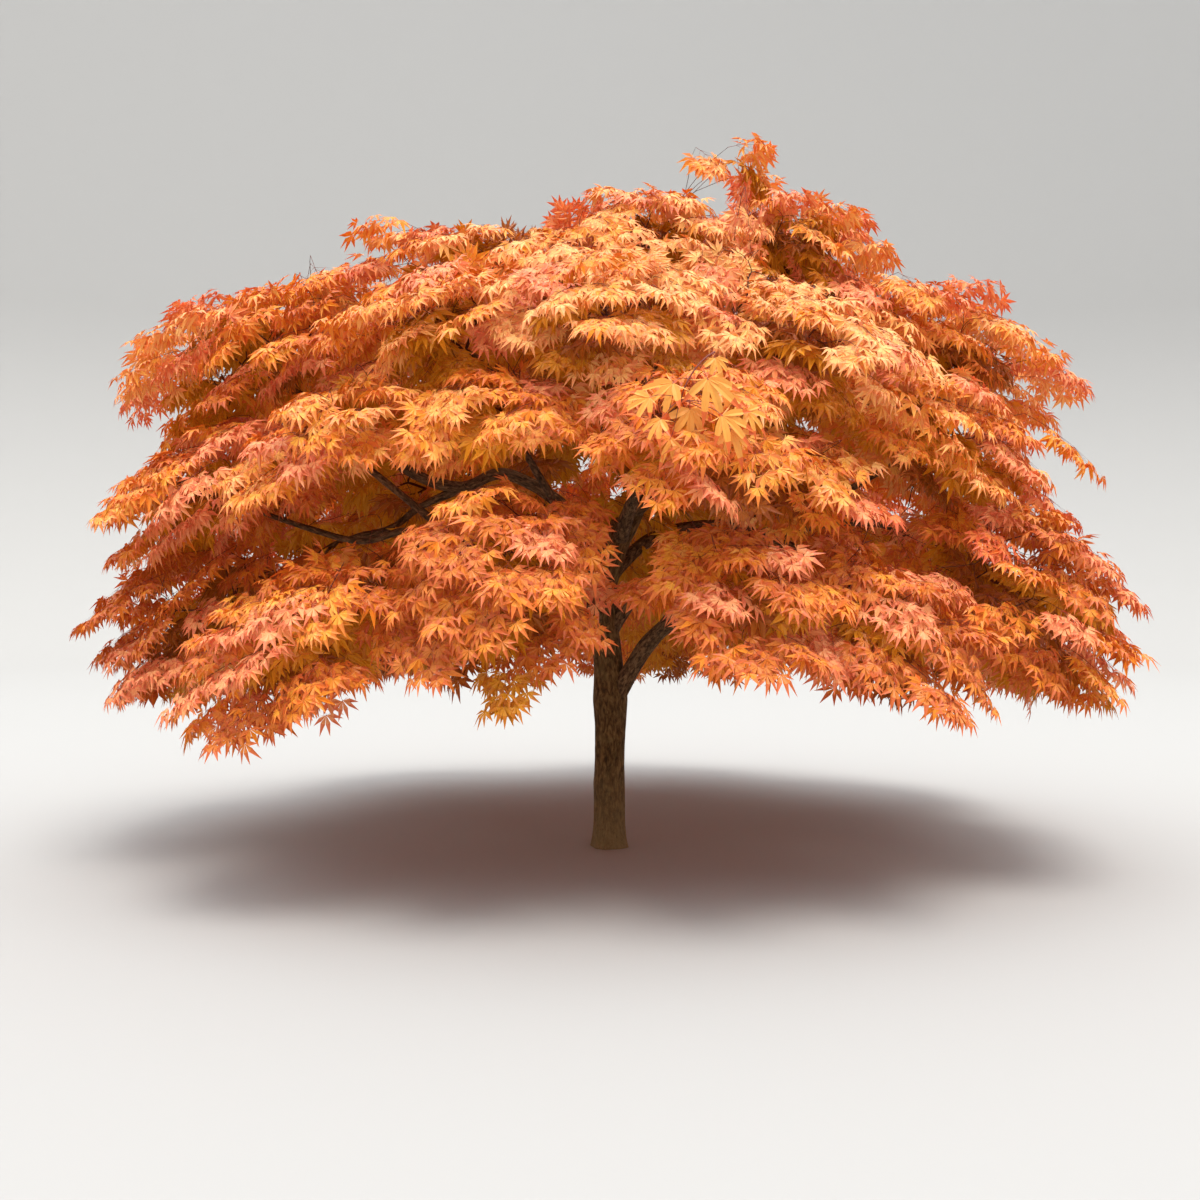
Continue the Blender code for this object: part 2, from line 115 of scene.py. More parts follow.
# parent, height or share where it leaves the parent, radius at start and end, mass, waypoints
boughRows = {
    "bough_right_low": ("spine", 0.66, 0.043, 0.020, "skirt_right_front", (
        (0.115, -0.060, 0.86), (0.215, -0.130, 1.00), (0.42, -0.42, 1.20), (0.62, -0.70, 1.25))),
    "bough_front_right": ("bough_right_low", 0.50, 0.024, 0.014, "skirt_front_right", (
        (0.40, -0.72, 1.30), (0.43, -1.00, 1.26))),
    "bough_right_high": ("spine", 1.00, 0.040, 0.015, "skirt_right", (
        (0.147, 0.030, 1.20), (0.47, 0.08, 1.385), (0.75, 0.08, 1.47), (1.13, 0.05, 1.535),
        (1.40, 0.00, 1.47))),
    "bough_right_upper": ("bough_right_high", 0.42, 0.020, 0.012, "side_right", (
        (1.02, 0.03, 1.62),)),
    "bough_left_low": ("spine", 1.10, 0.027, 0.010, "side_left", (
        (-0.38, -0.05, 1.31), (-0.78, -0.10, 1.41), (-0.94, -0.10, 1.48), (-1.20, -0.12, 1.44))),
    "bough_left_high": ("spine", 1.30, 0.037, 0.014, "shoulder_left", (
        (-0.22, 0.00, 1.60), (-0.49, 0.00, 1.75), (-0.70, 0.00, 1.69), (-0.93, -0.02, 1.76),
        (-1.18, -0.02, 1.98))),
    "bough_left_drooping": ("bough_left_high", 0.42, 0.019, 0.009, "skirt_left", (
        (-0.89, 0.05, 1.60), (-1.045, 0.10, 1.50), (-1.34, 0.15, 1.41), (-1.60, 0.20, 1.20))),
    "bough_left_front": ("spine", 1.05, 0.034, 0.016, "skirt_left_front", (
        (-0.32, -0.30, 1.25), (-0.72, -0.66, 1.24))),
    "bough_left_front_upper": ("bough_left_front", 0.42, 0.020, 0.012, "side_left_front", (
        (-0.74, -0.64, 1.50),)),
    "bough_front_left": ("spine", 1.20, 0.034, 0.018, "skirt_front_left", (
        (-0.13, -0.42, 1.42), (-0.24, -0.80, 1.42))),
    "bough_front_left_upper": ("bough_front_left", 0.36, 0.020, 0.012, "side_front_left", (
        (-0.28, -0.74, 1.66),)),
    "bough_front": ("spine", 1.44, 0.032, 0.017, "side_front", (
        (0.12, -0.42, 1.66), (0.19, -0.82, 1.76))),
    "bough_right_front": ("spine", 1.56, 0.028, 0.015, "side_right_front", (
        (0.38, -0.32, 1.74), (0.60, -0.62, 1.74))),
    "bough_back_right": ("spine", 1.24, 0.034, 0.016, "skirt_back_right", (
        (0.22, 0.26, 1.46), (0.62, 0.56, 1.52), (1.10, 0.76, 1.36))),
    "bough_back_right_upper": ("bough_back_right", 0.40, 0.021, 0.012, "side_back_right", (
        (0.78, 0.80, 1.60),)),
    "bough_back": ("spine", 1.40, 0.030, 0.014, "skirt_back", (
        (0.05, 0.42, 1.60), (0.22, 0.92, 1.52), (0.34, 1.30, 1.30))),
    "bough_back_left": ("spine", 1.15, 0.035, 0.016, "skirt_back_left", (
        (-0.27, 0.34, 1.38), (-0.58, 0.84, 1.38), (-0.78, 1.18, 1.22))),
    "bough_back_left_upper": ("bough_back_left", 0.40, 0.021, 0.012, "side_back_left", (
        (-0.62, 0.84, 1.60),)),
    "bough_shoulder_right": ("spine", 1.68, 0.026, 0.013, "shoulder_right", (
        (0.42, 0.03, 1.90), (0.78, 0.05, 2.12))),
    "bough_shoulder_front_left": ("spine", 1.74, 0.025, 0.013, "shoulder_front_left", (
        (-0.06, -0.24, 1.96), (-0.36, -0.46, 2.10))),
    "bough_shoulder_back_left": ("spine", 1.80, 0.025, 0.013, "shoulder_back_left", (
        (-0.06, 0.28, 2.00), (-0.36, 0.52, 2.12))),
    "bough_shoulder_front_right": ("spine", 1.88, 0.023, 0.013, "shoulder_front_right", (
        (0.36, -0.28, 2.00), (0.46, -0.48, 2.08))),
    "bough_shoulder_front": ("spine", 1.98, 0.021, 0.012, "shoulder_front", (
        (0.12, -0.30, 2.12), (0.06, -0.55, 2.20))),
    "bough_shoulder_back_right": ("spine", 1.92, 0.023, 0.013, "shoulder_back_right", (
        (0.34, 0.30, 2.06), (0.50, 0.60, 2.16))),
    "bough_top_left": ("spine", 2.08, 0.020, 0.011, "top_left", (
        (-0.14, 0.03, 2.36),)),
    "bough_top_right": ("spine", 2.18, 0.019, 0.011, "top_right", (
        (0.42, 0.03, 2.40),)),
    "bough_top_back": ("spine", 2.26, 0.018, 0.011, "top_back", (
        (0.06, 0.28, 2.42),)),
}


def curveThrough(rows, spacing):
    # Catmull-Rom: each stretch blends four neighbouring waypoints by cubic weights of t
    knots = np.vstack([rows[:1], rows, rows[-1:]])
    stretches = []
    for index in range(1, len(knots) - 2):
        before, start, end, after = knots[index - 1:index + 3]
        count = max(2, int(round(np.linalg.norm(end[:3] - start[:3]) / spacing)))
        t = (np.arange(count) / count)[:, None]
        points = 0.5 * (2 * start + (end - before) * t
                        + (2 * before - 5 * start + 4 * end - after) * t ** 2
                        + (3 * start - before - 3 * end + after) * t ** 3)
        points[:, 3] = start[3] + (end[3] - start[3]) * t[:, 0]
        stretches.append(points)
    return np.vstack(stretches + [rows[-1:]])


def lengthsAlong(path):  # the running sum of the steps between the path's points
    return np.concatenate([[0.0], np.cumsum(np.linalg.norm(np.diff(path[:, :3], axis=0), axis=1))])


def pointAt(path, share):  # where the running length is that share of the whole
    along = lengthsAlong(path)
    return np.array([np.interp(share * along[-1], along, path[:, axis]) for axis in range(3)])


def sidesAlong(path):  # a side direction carried along the path with as little turning as can be
    tangents = unit(np.gradient(path[:, :3], axis=0))
    side = unit(np.cross(tangents[0], [0.31, 0.95, 0.05]))
    sides = []
    for tangent in tangents:
        side = squareTo(side, tangent)
        sides.append(side)
    return np.array(sides), np.cross(tangents, sides)


def patchyNoise(around, along, cellsAround, seed):
    # value noise on a grid that closes on itself round the limb; along is counted in cells
    table = np.random.default_rng(seed).random((int(along.max()) + 3, cellsAround)) * 2 - 1
    column, row = around * cellsAround, along
    left, low = np.floor(column).astype(int), np.floor(row).astype(int)
    across, rise = column - left, row - low
    across, rise = across * across * (3 - 2 * across), rise * rise * (3 - 2 * rise)
    right, left = (left + 1) % cellsAround, left % cellsAround
    lower = table[low, left] * (1 - across) + table[low, right] * across
    upper = table[low + 1, left] * (1 - across) + table[low + 1, right] * across
    return lower * (1 - rise) + upper * rise


# noise stretched along the limb, times its height
def noiseLayer(around, along, cells, cellsAround, seed, height):
    return patchyNoise(around, along * cells, cellsAround, seed) * height


barkRelief = {
    # cells of noise along each metre, cells round the trunk, seed, height
    "trunkLayers": ((7, 30, 11, 0.0022), (26, 46, 12, 0.00096), (5, 5, 13, 0.0055)),
    "trunkCracks": (9, 24, 14, 0.0016),
    "fadeFrom": 1.35, "fadeHeight": 2.2, "fadeLeast": 0.35, "proudness": 0.75,
    "boughLayers": ((16, 9, 200, 0.05), (9, 4, 300, 0.12)),
    "flareRadius": 0.017, "flareHeight": 0.07,
    "buttresses": 4, "buttressSize": 0.00497, "buttressTurn": 0.6,
    "forkHeight": 0.70, "forkSwelling": 0.010, "forkSpread": 0.10, "collar": 0.45, "collarLength": 0.055,
    "burlRadius": 0.07,
    # height, share of the way round, how proud, how wide
    "burls": ((0.52, 0.40, 0.010, 0.035), (0.30, 0.14, 0.006, 0.05), (1.05, 0.62, 0.009, 0.04))}


def barkTube(path, sides, radiusAt, reliefAt):
    # centre + (side cos a + other sin a) * (radius + relief), for every angle and place at once;
    # each end is closed by a fan round one point in its middle
    side, other = sidesAlong(path)
    along = lengthsAlong(path)
    around = np.arange(sides) / sides
    angles = around * turn
    aroundGrid, alongGrid = np.meshgrid(around, along)
    wide = radiusAt(along, angles) + reliefAt(aroundGrid, alongGrid)
    ring = side[:, None] * np.cos(angles)[:, None] + other[:, None] * np.sin(angles)[:, None]
    points = (path[:, None, :3] + ring * wide[..., None]).reshape(-1, 3)
    grain = np.stack([np.cos(aroundGrid * turn) * path[:, 3:4], np.sin(aroundGrid * turn) * path[:, 3:4],
                      alongGrid], axis=-1).reshape(-1, 3)
    index = np.arange(len(points)).reshape(len(path), sides)
    beside = np.roll(index, -1, axis=1)
    first, last = np.full(sides, len(points)), np.full(sides, len(points) + 1)
    faces = np.vstack([ringFaces(index, beside), np.stack([beside[0], index[0], first], axis=-1),
                       np.stack([index[-1], beside[-1], last], axis=-1)])
    points = np.vstack([points, path[[0, -1], :3]])
    grain = np.vstack([grain, [[0.0, 0.0, 0.0], [0.0, 0.0, along[-1]]]])
    return points, grain, faces


def ringFaces(index, beside):  # two triangles between each point, the one beside it and the next ring
    rings = [np.stack([index[:-1], beside[:-1], beside[1:]], axis=-1),
             np.stack([index[:-1], beside[1:], index[1:]], axis=-1)]
    return np.concatenate(rings).reshape(-1, 3)


def joinMeshes(parts):
    offsets = np.cumsum([0] + [len(points) for points, faces in parts[:-1]])
    return (np.vstack([points for points, faces in parts]),
            np.vstack([faces + offset for (points, faces), offset in zip(parts, offsets)]))


def barkPiece(name, tubes, material):  # tubes joined, with the grain kept for the bark's pattern
    points, faces = joinMeshes([(points, faces) for points, grain, faces in tubes])
    grain = np.vstack([grain for points, grain, faces in tubes])
    piece = makePiece(name, points, faces, [material], smooth=True)
    attribute = piece.data.attributes.new("grain", "FLOAT_VECTOR", "POINT")
    attribute.data.foreach_set("vector", grain.astype(np.float32).ravel())
    return piece


# bark: one pattern group, used by the trunk and by the boughs with their own values

def addNode(tree, kind, settings=None, values=None):
    node = tree.nodes.new(kind)
    for key, value in (settings or {}).items():
        setattr(node, key, value)
    for key, value in (values or {}).items():
        node.inputs[key].default_value = value
    return node


def wire(tree, kind, feeds, settings=None, values=None):  # a node fed by sockets; gives its output
    node = addNode(tree, kind, settings, values)
    for key, socket in feeds.items():
        tree.links.new(socket, node.inputs[key])
    return node.outputs["Result"] if kind == "ShaderNodeMix" else node.outputs[0]


def wireNoise(tree, place, scale, values):  # noise read at a place, at a scale that may be fed too
    node = addNode(tree, "ShaderNodeTexNoise", None, values)
    tree.links.new(place, node.inputs["Vector"])
    if scale is not None:
        tree.links.new(scale, node.inputs["Scale"])
    return node.outputs["Fac"]


def makeBarkGroup():
    # stretched noise makes the furrows, whose depth mixes dark, middle and light; patches and a
    # weathered foot are mixed over them
    group = bpy.data.node_groups.new("barkPattern", "ShaderNodeTree")
    sockets = {"INPUT": {"Float": ("Furrow Scale", "Stretch", "Patch Scale", "Patch Amount", "Foot Height",
                                   "Foot Amount"),
                         "Color": ("Dark", "Middle", "Light", "Patch", "Foot")},
               "OUTPUT": {"Color": ("Color",), "Float": ("Roughness", "Height")}}
    for side, kinds in sockets.items():
        for kind, names in kinds.items():
            for name in names:
                group.interface.new_socket(name, in_out=side, socket_type="NodeSocket" + kind)
    given = addNode(group, "NodeGroupInput").outputs
    leave = addNode(group, "NodeGroupOutput")

    def sums(operation, first, second, clamp=False):
        return wire(group, "ShaderNodeMath", {0: first, 1: second},
                    {"operation": operation, "use_clamp": clamp})

    def ranged(value, limits):
        return wire(group, "ShaderNodeMapRange", {"Value": value}, None, limits)

    def mixed(share, under, over):
        return wire(group, "ShaderNodeMix", {"Factor": share, "A": under, "B": over}, {"data_type": "RGBA"})

    place = addNode(group, "ShaderNodeAttribute", {"attribute_name": "grain"}).outputs["Vector"]
    split = addNode(group, "ShaderNodeSeparateXYZ")
    group.links.new(place, split.inputs[0])
    height = split.outputs["Z"]
    stretched = wire(group, "ShaderNodeCombineXYZ", {"X": split.outputs["X"], "Y": split.outputs["Y"],
                                                     "Z": sums("MULTIPLY", height, given["Stretch"])})
    furrows = wireNoise(group, stretched, given["Furrow Scale"],
                        {"Detail": 5.0, "Roughness": 0.62, "Distortion": 0.5})
    fine = wireNoise(group, stretched, None, {"Scale": 260.0, "Detail": 3.0, "Roughness": 0.7})
    patches = wireNoise(group, place, given["Patch Scale"],
                        {"Detail": 4.0, "Roughness": 0.55, "Distortion": 0.8})
    sharp = ranged(furrows, {"From Min": 0.36, "From Max": 0.64})
    colour = mixed(ranged(sharp, {"From Min": 0.0, "From Max": 0.5}), given["Dark"], given["Middle"])
    colour = mixed(ranged(sharp, {"From Min": 0.5, "From Max": 1.0}), colour, given["Light"])
    patchShare = sums("MULTIPLY", ranged(patches, {"From Min": 0.52, "From Max": 0.66}),
                      given["Patch Amount"])
    colour = mixed(patchShare, colour, given["Patch"])
    fade = ranged(sums("DIVIDE", height, given["Foot Height"]),
                  {"From Min": 0.0, "From Max": 1.0, "To Min": 1.0, "To Max": 0.0})
    footShare = sums("MULTIPLY", sums("MULTIPLY", fade, fine), given["Foot Amount"], True)
    relief = wire(group, "ShaderNodeMath", {0: fine, 2: sharp}, {"operation": "MULTIPLY_ADD"}, {1: 0.35})
    for name, socket in (("Color", mixed(footShare, colour, given["Foot"])), ("Height", relief),
                         ("Roughness", ranged(sharp, {"To Min": 0.95, "To Max": 0.72}))):
        group.links.new(socket, leave.inputs[name])
    return group


def barkMaterial(name, group, look):
    material = bpy.data.materials.new(name)
    material.use_nodes = True
    tree = material.node_tree
    shader = tree.nodes["Principled BSDF"]
    pattern = addNode(tree, "ShaderNodeGroup", {"node_tree": group})
    for key, value in look["pattern"].items():
        pattern.inputs[key].default_value = value
    bump = addNode(tree, "ShaderNodeBump", None, {"Strength": look["bump"], "Distance": look["depth"]})
    tree.links.new(pattern.outputs["Color"], shader.inputs["Base Color"])
    tree.links.new(pattern.outputs["Roughness"], shader.inputs["Roughness"])
    tree.links.new(pattern.outputs["Height"], bump.inputs["Height"])
    tree.links.new(bump.outputs["Normal"], shader.inputs["Normal"])
    shader.inputs["Specular IOR Level"].default_value = 0.3
    return material


barkLooks = {
    "trunkBark": {"bump": 0.6, "depth": 0.004, "pattern": {
        "Furrow Scale": 78.0, "Stretch": 0.34, "Patch Scale": 11.0, "Dark": linear(60, 41, 17),
        "Middle": linear(98, 69, 32), "Light": linear(132, 99, 54), "Patch": linear(130, 106, 62),
        "Patch Amount": 0.5, "Foot": linear(172, 144, 98), "Foot Height": 0.42, "Foot Amount": 1.1}},
    "boughBark": {"bump": 0.5, "depth": 0.003, "pattern": {
        "Furrow Scale": 90.0, "Stretch": 0.36, "Patch Scale": 12.0, "Dark": linear(52, 35, 18),
        "Middle": linear(98, 70, 42), "Light": linear(140, 106, 70), "Patch": linear(104, 84, 60),
        "Patch Amount": 0.4, "Foot": linear(104, 84, 60), "Foot Height": 0.4, "Foot Amount": 0.0}},
}
barkPattern = makeBarkGroup()
trunkBark = barkMaterial("trunkBark", barkPattern, barkLooks["trunkBark"])
boughBark = barkMaterial("boughBark", barkPattern, barkLooks["boughBark"])

# the trunk and leader are one limb, and every bough starts inside its parent

limbDetail = {"trunkSides": 96, "trunkSpacing": 0.009, "boughSides": 22, "boughSpacing": 0.014,
              "grainShift": 3.7}  # so that no two boughs have the same pattern

spineWay = curveThrough(spineRows, limbDetail["trunkSpacing"])


def spineRadius(along, angles):
    # radius at each place, widened by the root flare, its low buttresses and the fork's swelling
    fall = np.exp(-along / barkRelief["flareHeight"])[:, None]
    fork = np.exp(-((along - barkRelief["forkHeight"]) / barkRelief["forkSpread"]) ** 2)[:, None]
    wave = np.cos(barkRelief["buttresses"] * angles + barkRelief["buttressTurn"])
    radii = np.interp(along, lengthsAlong(spineWay), spineWay[:, 3])[:, None]
    flare = barkRelief["flareRadius"] + barkRelief["buttressSize"] * wave
    return radii + flare * fall + barkRelief["forkSwelling"] * fork


def spineRelief(around, along):
    # ridges, plates and knobs less the cracks, each a patchy noise of its own stretch, and burls
    fade = np.clip(barkRelief["fadeFrom"] - along / barkRelief["fadeHeight"], barkRelief["fadeLeast"], 1.0)
    relief = sum(noiseLayer(around, along, *row) for row in barkRelief["trunkLayers"])
    relief = relief - np.abs(noiseLayer(around, along, *barkRelief["trunkCracks"]))
    burls = 0.0  # bell-shaped swellings
    for height, share, proud, wide in barkRelief["burls"]:
        off = (np.abs(around - share + 0.5) % 1.0 - 0.5) * turn * barkRelief["burlRadius"]
        burls = burls + proud * np.exp(-(off ** 2 + (along - height) ** 2) / wide ** 2)
    return relief * fade * barkRelief["proudness"] + burls


spineTube = barkTube(spineWay, limbDetail["trunkSides"], spineRadius, spineRelief)
spineTube[0][:, 2] = np.maximum(spineTube[0][:, 2], 0.0)

boughWays = {"spine": spineWay}
massWays = {"top_centre": spineWay}
for boughName, (parent, place, thick, thin, mass, between) in boughRows.items():
    if parent == "spine":
        start = np.array([np.interp(place, spineWay[:, 2], spineWay[:, axis]) for axis in range(3)])
    else:
        start = pointAt(boughWays[parent], place)
    stops = np.vstack([start, np.array(between), middleOf(mass)])
    reach = lengthsAlong(stops)
    radii = thick + (thin - thick) * reach / reach[-1]
    boughWays[boughName] = curveThrough(np.column_stack([stops, radii]), limbDetail["boughSpacing"])
    massWays[mass] = boughWays[boughName]
print("limbs:", len(boughWays))

# growth: in each mass, branches that fork in two until each carries one spray

growth = {
    "spraysPerSquareMetre": 30.0,  # of a mass's own surface
    "fewestSprays": 7,
    "innerShare": 0.24,  # of the sprays stand inside the mass
    "sprayLength": 0.24,
    "inset": 0.005,  # how far inside the surface a spray's main twig ends
    "insetBelow": 0.055,  # more than that on the underside, where the leaves hang
    "overWindow": 2.2,  # times as much under the masses that hang over the open places
    "strayShare": 0.06,  # of the sprays stand proud of their mass
    "strayReach": 0.09,
    "innerDepth": (0.35, 0.75),  # shares of the way from the mass's middle
    "exposure": (0.6, 0.75, 0.35),  # weight of facing outwards, of facing up, and for the rest
    "leastShare": 0.22,  # of sprays on a mass's hidden faces
    "leastShareFull": 0.42,  # the same for the masses at the back and the low sides
    "bridgeSprays": 3,  # fill the crown between each two neighbouring masses
    "bridgeSpan": 1.4,  # neighbours have their middles nearer than this
    "bridgeReach": (0.12, 0.42),  # outwards from half way between the two middles
    "bridgeReachHigh": (0.0, 0.2),  # the same in the shoulder and the top
    "leaderRadius": 0.75,  # nearer the leader than this they rise too
    "bridgeLength": 1.25,  # times a common spray
    "clearFront": -0.45,  # the low tiers stay open further forward than this
    "topLift": 0.09,  # the low masses at the sides and back rise into the gap above them
    "boughSprays": 11,  # small sprays along each limb, on the side away from the front
    "leaderSprays": 42,
    "bareFront": -0.2,  # limbs that end further forward than this carry none
    "limbStretch": {"leader": (0.48, 0.95), "bough": (0.3, 0.95)},  # where they stand along a limb
    "shootSprays": 4,  # on the one shoot above the crown
    "shootLength": 0.72,  # times a common spray
    "sag": 0.26,  # fall of a spray's tip, in spray lengths
    "tierDroop": {"skirt": 0.40, "side": 0.36, "shoulder": 0.30, "top": 0.14},
    "arching": 0.34,  # sprays on top of a mass rise before they droop
    "hubShare": 0.5,  # how far from its entry to the mass's middle a bough runs before it forks
    "pull": 0.42,  # how far a branch keeps to its first and last heading, in its own lengths
    "twigRadius": 0.0016,
    "twigPower": 0.43,  # radius grows with this power of the sprays carried
    "forkShare": (0.32, 0.52),
    "forkSway": 0.04,
    "forkKeep": 0.35,  # how much of its heading a branch keeps at a fork
    "bridgeSway": 0.12,
    "bridgeLift": (0.05, 0.20),  # over the leader
}
# a spray's heading is away from the trunk and from its mass's middle; its face looks up and out
sprayAim = {"away": 0.62, "fromMiddle": 0.62, "sway": 0.17,
            "faceUp": 0.85, "faceAway": 0.42, "faceOut": 0.25, "faceSway": 0.16}


tiers = ("skirt", "side", "shoulder", "top")
masses = sorted(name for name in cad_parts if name.split("_")[0] in tiers)
lowSides = ("skirt_left", "skirt_right")

# how many sprays bridge the pairs of masses that stand too far apart to be bridged as neighbours
fillPairs = {("side_right", "skirt_back_right"): 9, ("side_back_right", "skirt_right"): 5,
             ("side_left", "skirt_back_left"): 5, ("side_back_left", "skirt_left"): 5,
             ("side_back_left", "skirt_back_left"): 5, ("side_back_left", "side_back_right"): 8,
             ("shoulder_back_left", "shoulder_back_right"): 4}
# the sprays stay well inside the undersides of the masses that hang over the bare limbs
openMasses = ("side_left_front", "side_front_left", "side_right_front", "skirt_front_right")


def massSurface(name):  # the corners of each triangle of one of the frame's masses
    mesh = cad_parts[name].data
    mesh.calc_loop_triangles()
    points = np.zeros(len(mesh.vertices) * 3)
    mesh.vertices.foreach_get("co", points)
    corners = np.zeros(len(mesh.loop_triangles) * 3, np.int32)
    mesh.loop_triangles.foreach_get("vertices", corners)
    return points.reshape(-1, 3)[corners.reshape(-1, 3)]


def pickSpread(points, count):  # each next point is the one furthest from those picked so far
    picked = [0]
    nearest = np.linalg.norm(points - points[0], axis=1)
    while len(picked) < count:
        picked.append(int(nearest.argmax()))
        nearest = np.minimum(nearest, np.linalg.norm(points - points[picked[-1]], axis=1))
    return np.array(picked)


def growForks(start, heading, goals, goalHeadings, rng, branches):
    # halve the goals across their longest spread, fork part of the way there, and repeat
    count = len(goals)
    if count == 1:
        thick = growth["twigRadius"]
        branches.append((start, heading, goals[0], goalHeadings[0], thick, thick * 0.8))
        return
    spread = goals - goals.mean(axis=0)
    axis = np.linalg.svd(spread, full_matrices=False)[2][0]
    order = np.argsort(spread @ axis)
    for half in (order[:count // 2], order[count // 2:]):
        if len(half) == 1:
            growForks(start, heading, goals[half], goalHeadings[half], rng, branches)
            continue
        middle = goals[half].mean(axis=0)
        sway = rng.normal(0.0, growth["forkSway"], 3) * np.linalg.norm(middle - start)
        fork = start + (middle - start) * rng.uniform(*growth["forkShare"]) + sway
        toward = unit(unit(middle - start) + heading * growth["forkKeep"])
        thick = growth["twigRadius"] * len(half) ** growth["twigPower"]
        branches.append((start, heading, fork, toward, thick * 1.1, thick))
        growForks(fork, toward, goals[half], goalHeadings[half], rng, branches)


def bridgeTips(massName, rng):
    # tips spread outwards from half way to each neighbour, except where the front stays open
    middle = middleOf(massName)
    tips = []
    for other in masses[masses.index(massName) + 1:]:
        across = middleOf(other) - middle
        between = middle + across / 2
        low = massName.startswith(("side", "skirt")) or other.startswith(("side", "skirt"))
        tipCount = fillPairs.get((massName, other), growth["bridgeSprays"])
        apart = np.linalg.norm(across) > growth["bridgeSpan"] and (massName, other) not in fillPairs
        if apart or other == "top_shoot" or (low and between[1] < growth["clearFront"]):
            continue
        outward = awayFromTrunk(between)
        overLeader = np.hypot(between[0], between[1]) < growth["leaderRadius"]
        nearer, further = growth["bridgeReach"] if low else growth["bridgeReachHigh"]
        for tip in range(tipCount):
            tips.append(between + outward * rng.uniform(nearer, further)
                        + np.cross(outward, unit(across)) * rng.normal(0.0, growth["bridgeSway"])
                        + up * (rng.uniform(*growth["bridgeLift"]) if overLeader else 0.0)
                        + rng.normal(0.0, 0.04, 3))
    return np.array(tips).reshape(-1, 3)


def surfaceTips(massName, triangles, middle, rng):
    # many points tried on the surface, thickest where it faces out and up, and the best spread kept;
    # the last of them, beyond the surface's own count, are for the inside
    crossed = np.cross(triangles[:, 1] - triangles[:, 0], triangles[:, 2] - triangles[:, 0])
    normals = unit(crossed)
    outward = unit(middle * [1, 1, 0] + [0.0, -0.02, 0.0])
    outShare, upShare, rest = growth["exposure"]
    exposed = np.clip(normals @ unit(outward * outShare + up * upShare) + rest, 0.0, 1.0)
    full = "back" in massName or massName in lowSides
    least = growth["leastShareFull"] if full else growth["leastShare"]
    weights = np.linalg.norm(crossed, axis=1) / 2 * (least + (1 - least) * exposed)
    surfaceCount = int(round(growth["spraysPerSquareMetre"] * weights.sum()))
    surfaceCount = max(growth["fewestSprays"], surfaceCount)
    if massName == "top_shoot":
        surfaceCount = growth["shootSprays"]
    count = int(round(surfaceCount * (1 + growth["innerShare"])))
    tried = rng.choice(len(triangles), size=count * 12, p=weights / weights.sum())
    split = rng.random((len(tried), 2))
    split = np.where(split.sum(axis=1, keepdims=True) > 1, 1 - split, split)
    corner = triangles[tried]
    edges = corner[:, 1:] - corner[:, :1]
    tips = corner[:, 0] + edges[:, 0] * split[:, :1] + edges[:, 1] * split[:, 1:]
    picked = pickSpread(tips, count)
    return tips[picked], normals[tried[picked]], surfaceCount


def pickSprays(massName, rng):
    # tips on and inside the mass, and bridges to its neighbours; each spray runs out, away from the
    # middle and down with its tier, and its base lies one length back from its tip
    triangles = massSurface(massName)
    middle = middleOf(massName)
    tips, faces, surfaceCount = surfaceTips(massName, triangles, middle, rng)
    bridges = bridgeTips(massName, rng)
    tips = np.vstack([tips, bridges])
    faces = np.vstack([faces, unit(bridges * [1, 1, 0] + up * 0.6)])
    count = len(tips)
    ownCount = count - len(bridges)
    inner = (np.arange(count) >= surfaceCount) & (np.arange(count) < ownCount)
    away = awayFromTrunk(tips)
    fromMiddle = unit((tips - middle) * [1, 1, 0.35] + 1e-6)
    below = growth["insetBelow"] * (growth["overWindow"] if massName in openMasses else 1.0)
    inset = growth["inset"] + below * np.clip(-faces[:, 2:], 0.0, 1.0)
    if massName in lowSides or "skirt_back" in massName:
        inset = inset - growth["topLift"] * np.clip(faces[:, 2:], 0.0, 1.0)
    stray = (rng.random((count, 1)) < growth["strayShare"]) & (faces[:, 2:] > 0.1)
    inset = np.where(stray, -growth["strayReach"] * rng.random((count, 1)), inset)
    inset[ownCount:] = 0.0
    stray[ownCount:] = False
    tips = tips - faces * inset
    tips[inner] = middle + (tips[inner] - middle) * rng.uniform(*growth["innerDepth"], (inner.sum(), 1))
    droop = growth["tierDroop"][massName.split("_")[0]]
    rise = growth["arching"] * np.clip(faces[:, 2:], 0.0, 1.0) - droop
    along = unit(away * sprayAim["away"] + fromMiddle * sprayAim["fromMiddle"] + up * rise
                 + rng.normal(0.0, sprayAim["sway"], tips.shape))
    face = (up * sprayAim["faceUp"] + away * sprayAim["faceAway"] + faces * sprayAim["faceOut"]
            + rng.normal(0.0, sprayAim["faceSway"], tips.shape))
    lengths = growth["sprayLength"] * rng.uniform(0.78, 1.22, count)
    lengths[ownCount:] *= growth["bridgeLength"]
    if massName == "top_shoot":
        lengths *= growth["shootLength"]
    bases = tips - along * lengths[:, None] + up * lengths[:, None] * growth["sag"]
    return triangles, middle, {"base": bases, "along": along, "face": squareTo(face, along),
                               "length": lengths, "inner": inner.astype(float),
                               "proud": stray[:, 0].astype(float)}


def findHub(massName, triangles, middle):
    # the bough goes on from where it enters the mass, part of the way to the middle, then forks
    way = massWays.get(massName)
    if way is None:
        return spineWay[-1, :3], up
    corners = triangles.reshape(-1, 3) - middle
    nearest = (unit(corners) @ unit(way[:, :3] - middle).T).argmax(axis=0)
    outside = np.linalg.norm(way[:, :3] - middle, axis=1) > np.linalg.norm(corners, axis=1)[nearest]
    entry = int(np.flatnonzero(outside)[-1]) if outside.any() else 0
    end = min(len(way) - 2, entry + max(2, int((len(way) - 1 - entry) * growth["hubShare"])))
    if massName != "top_centre":
        massWays[massName] = way[:end + 1]
    return way[end, :3], unit(way[end, :3] - way[end - 2, :3])


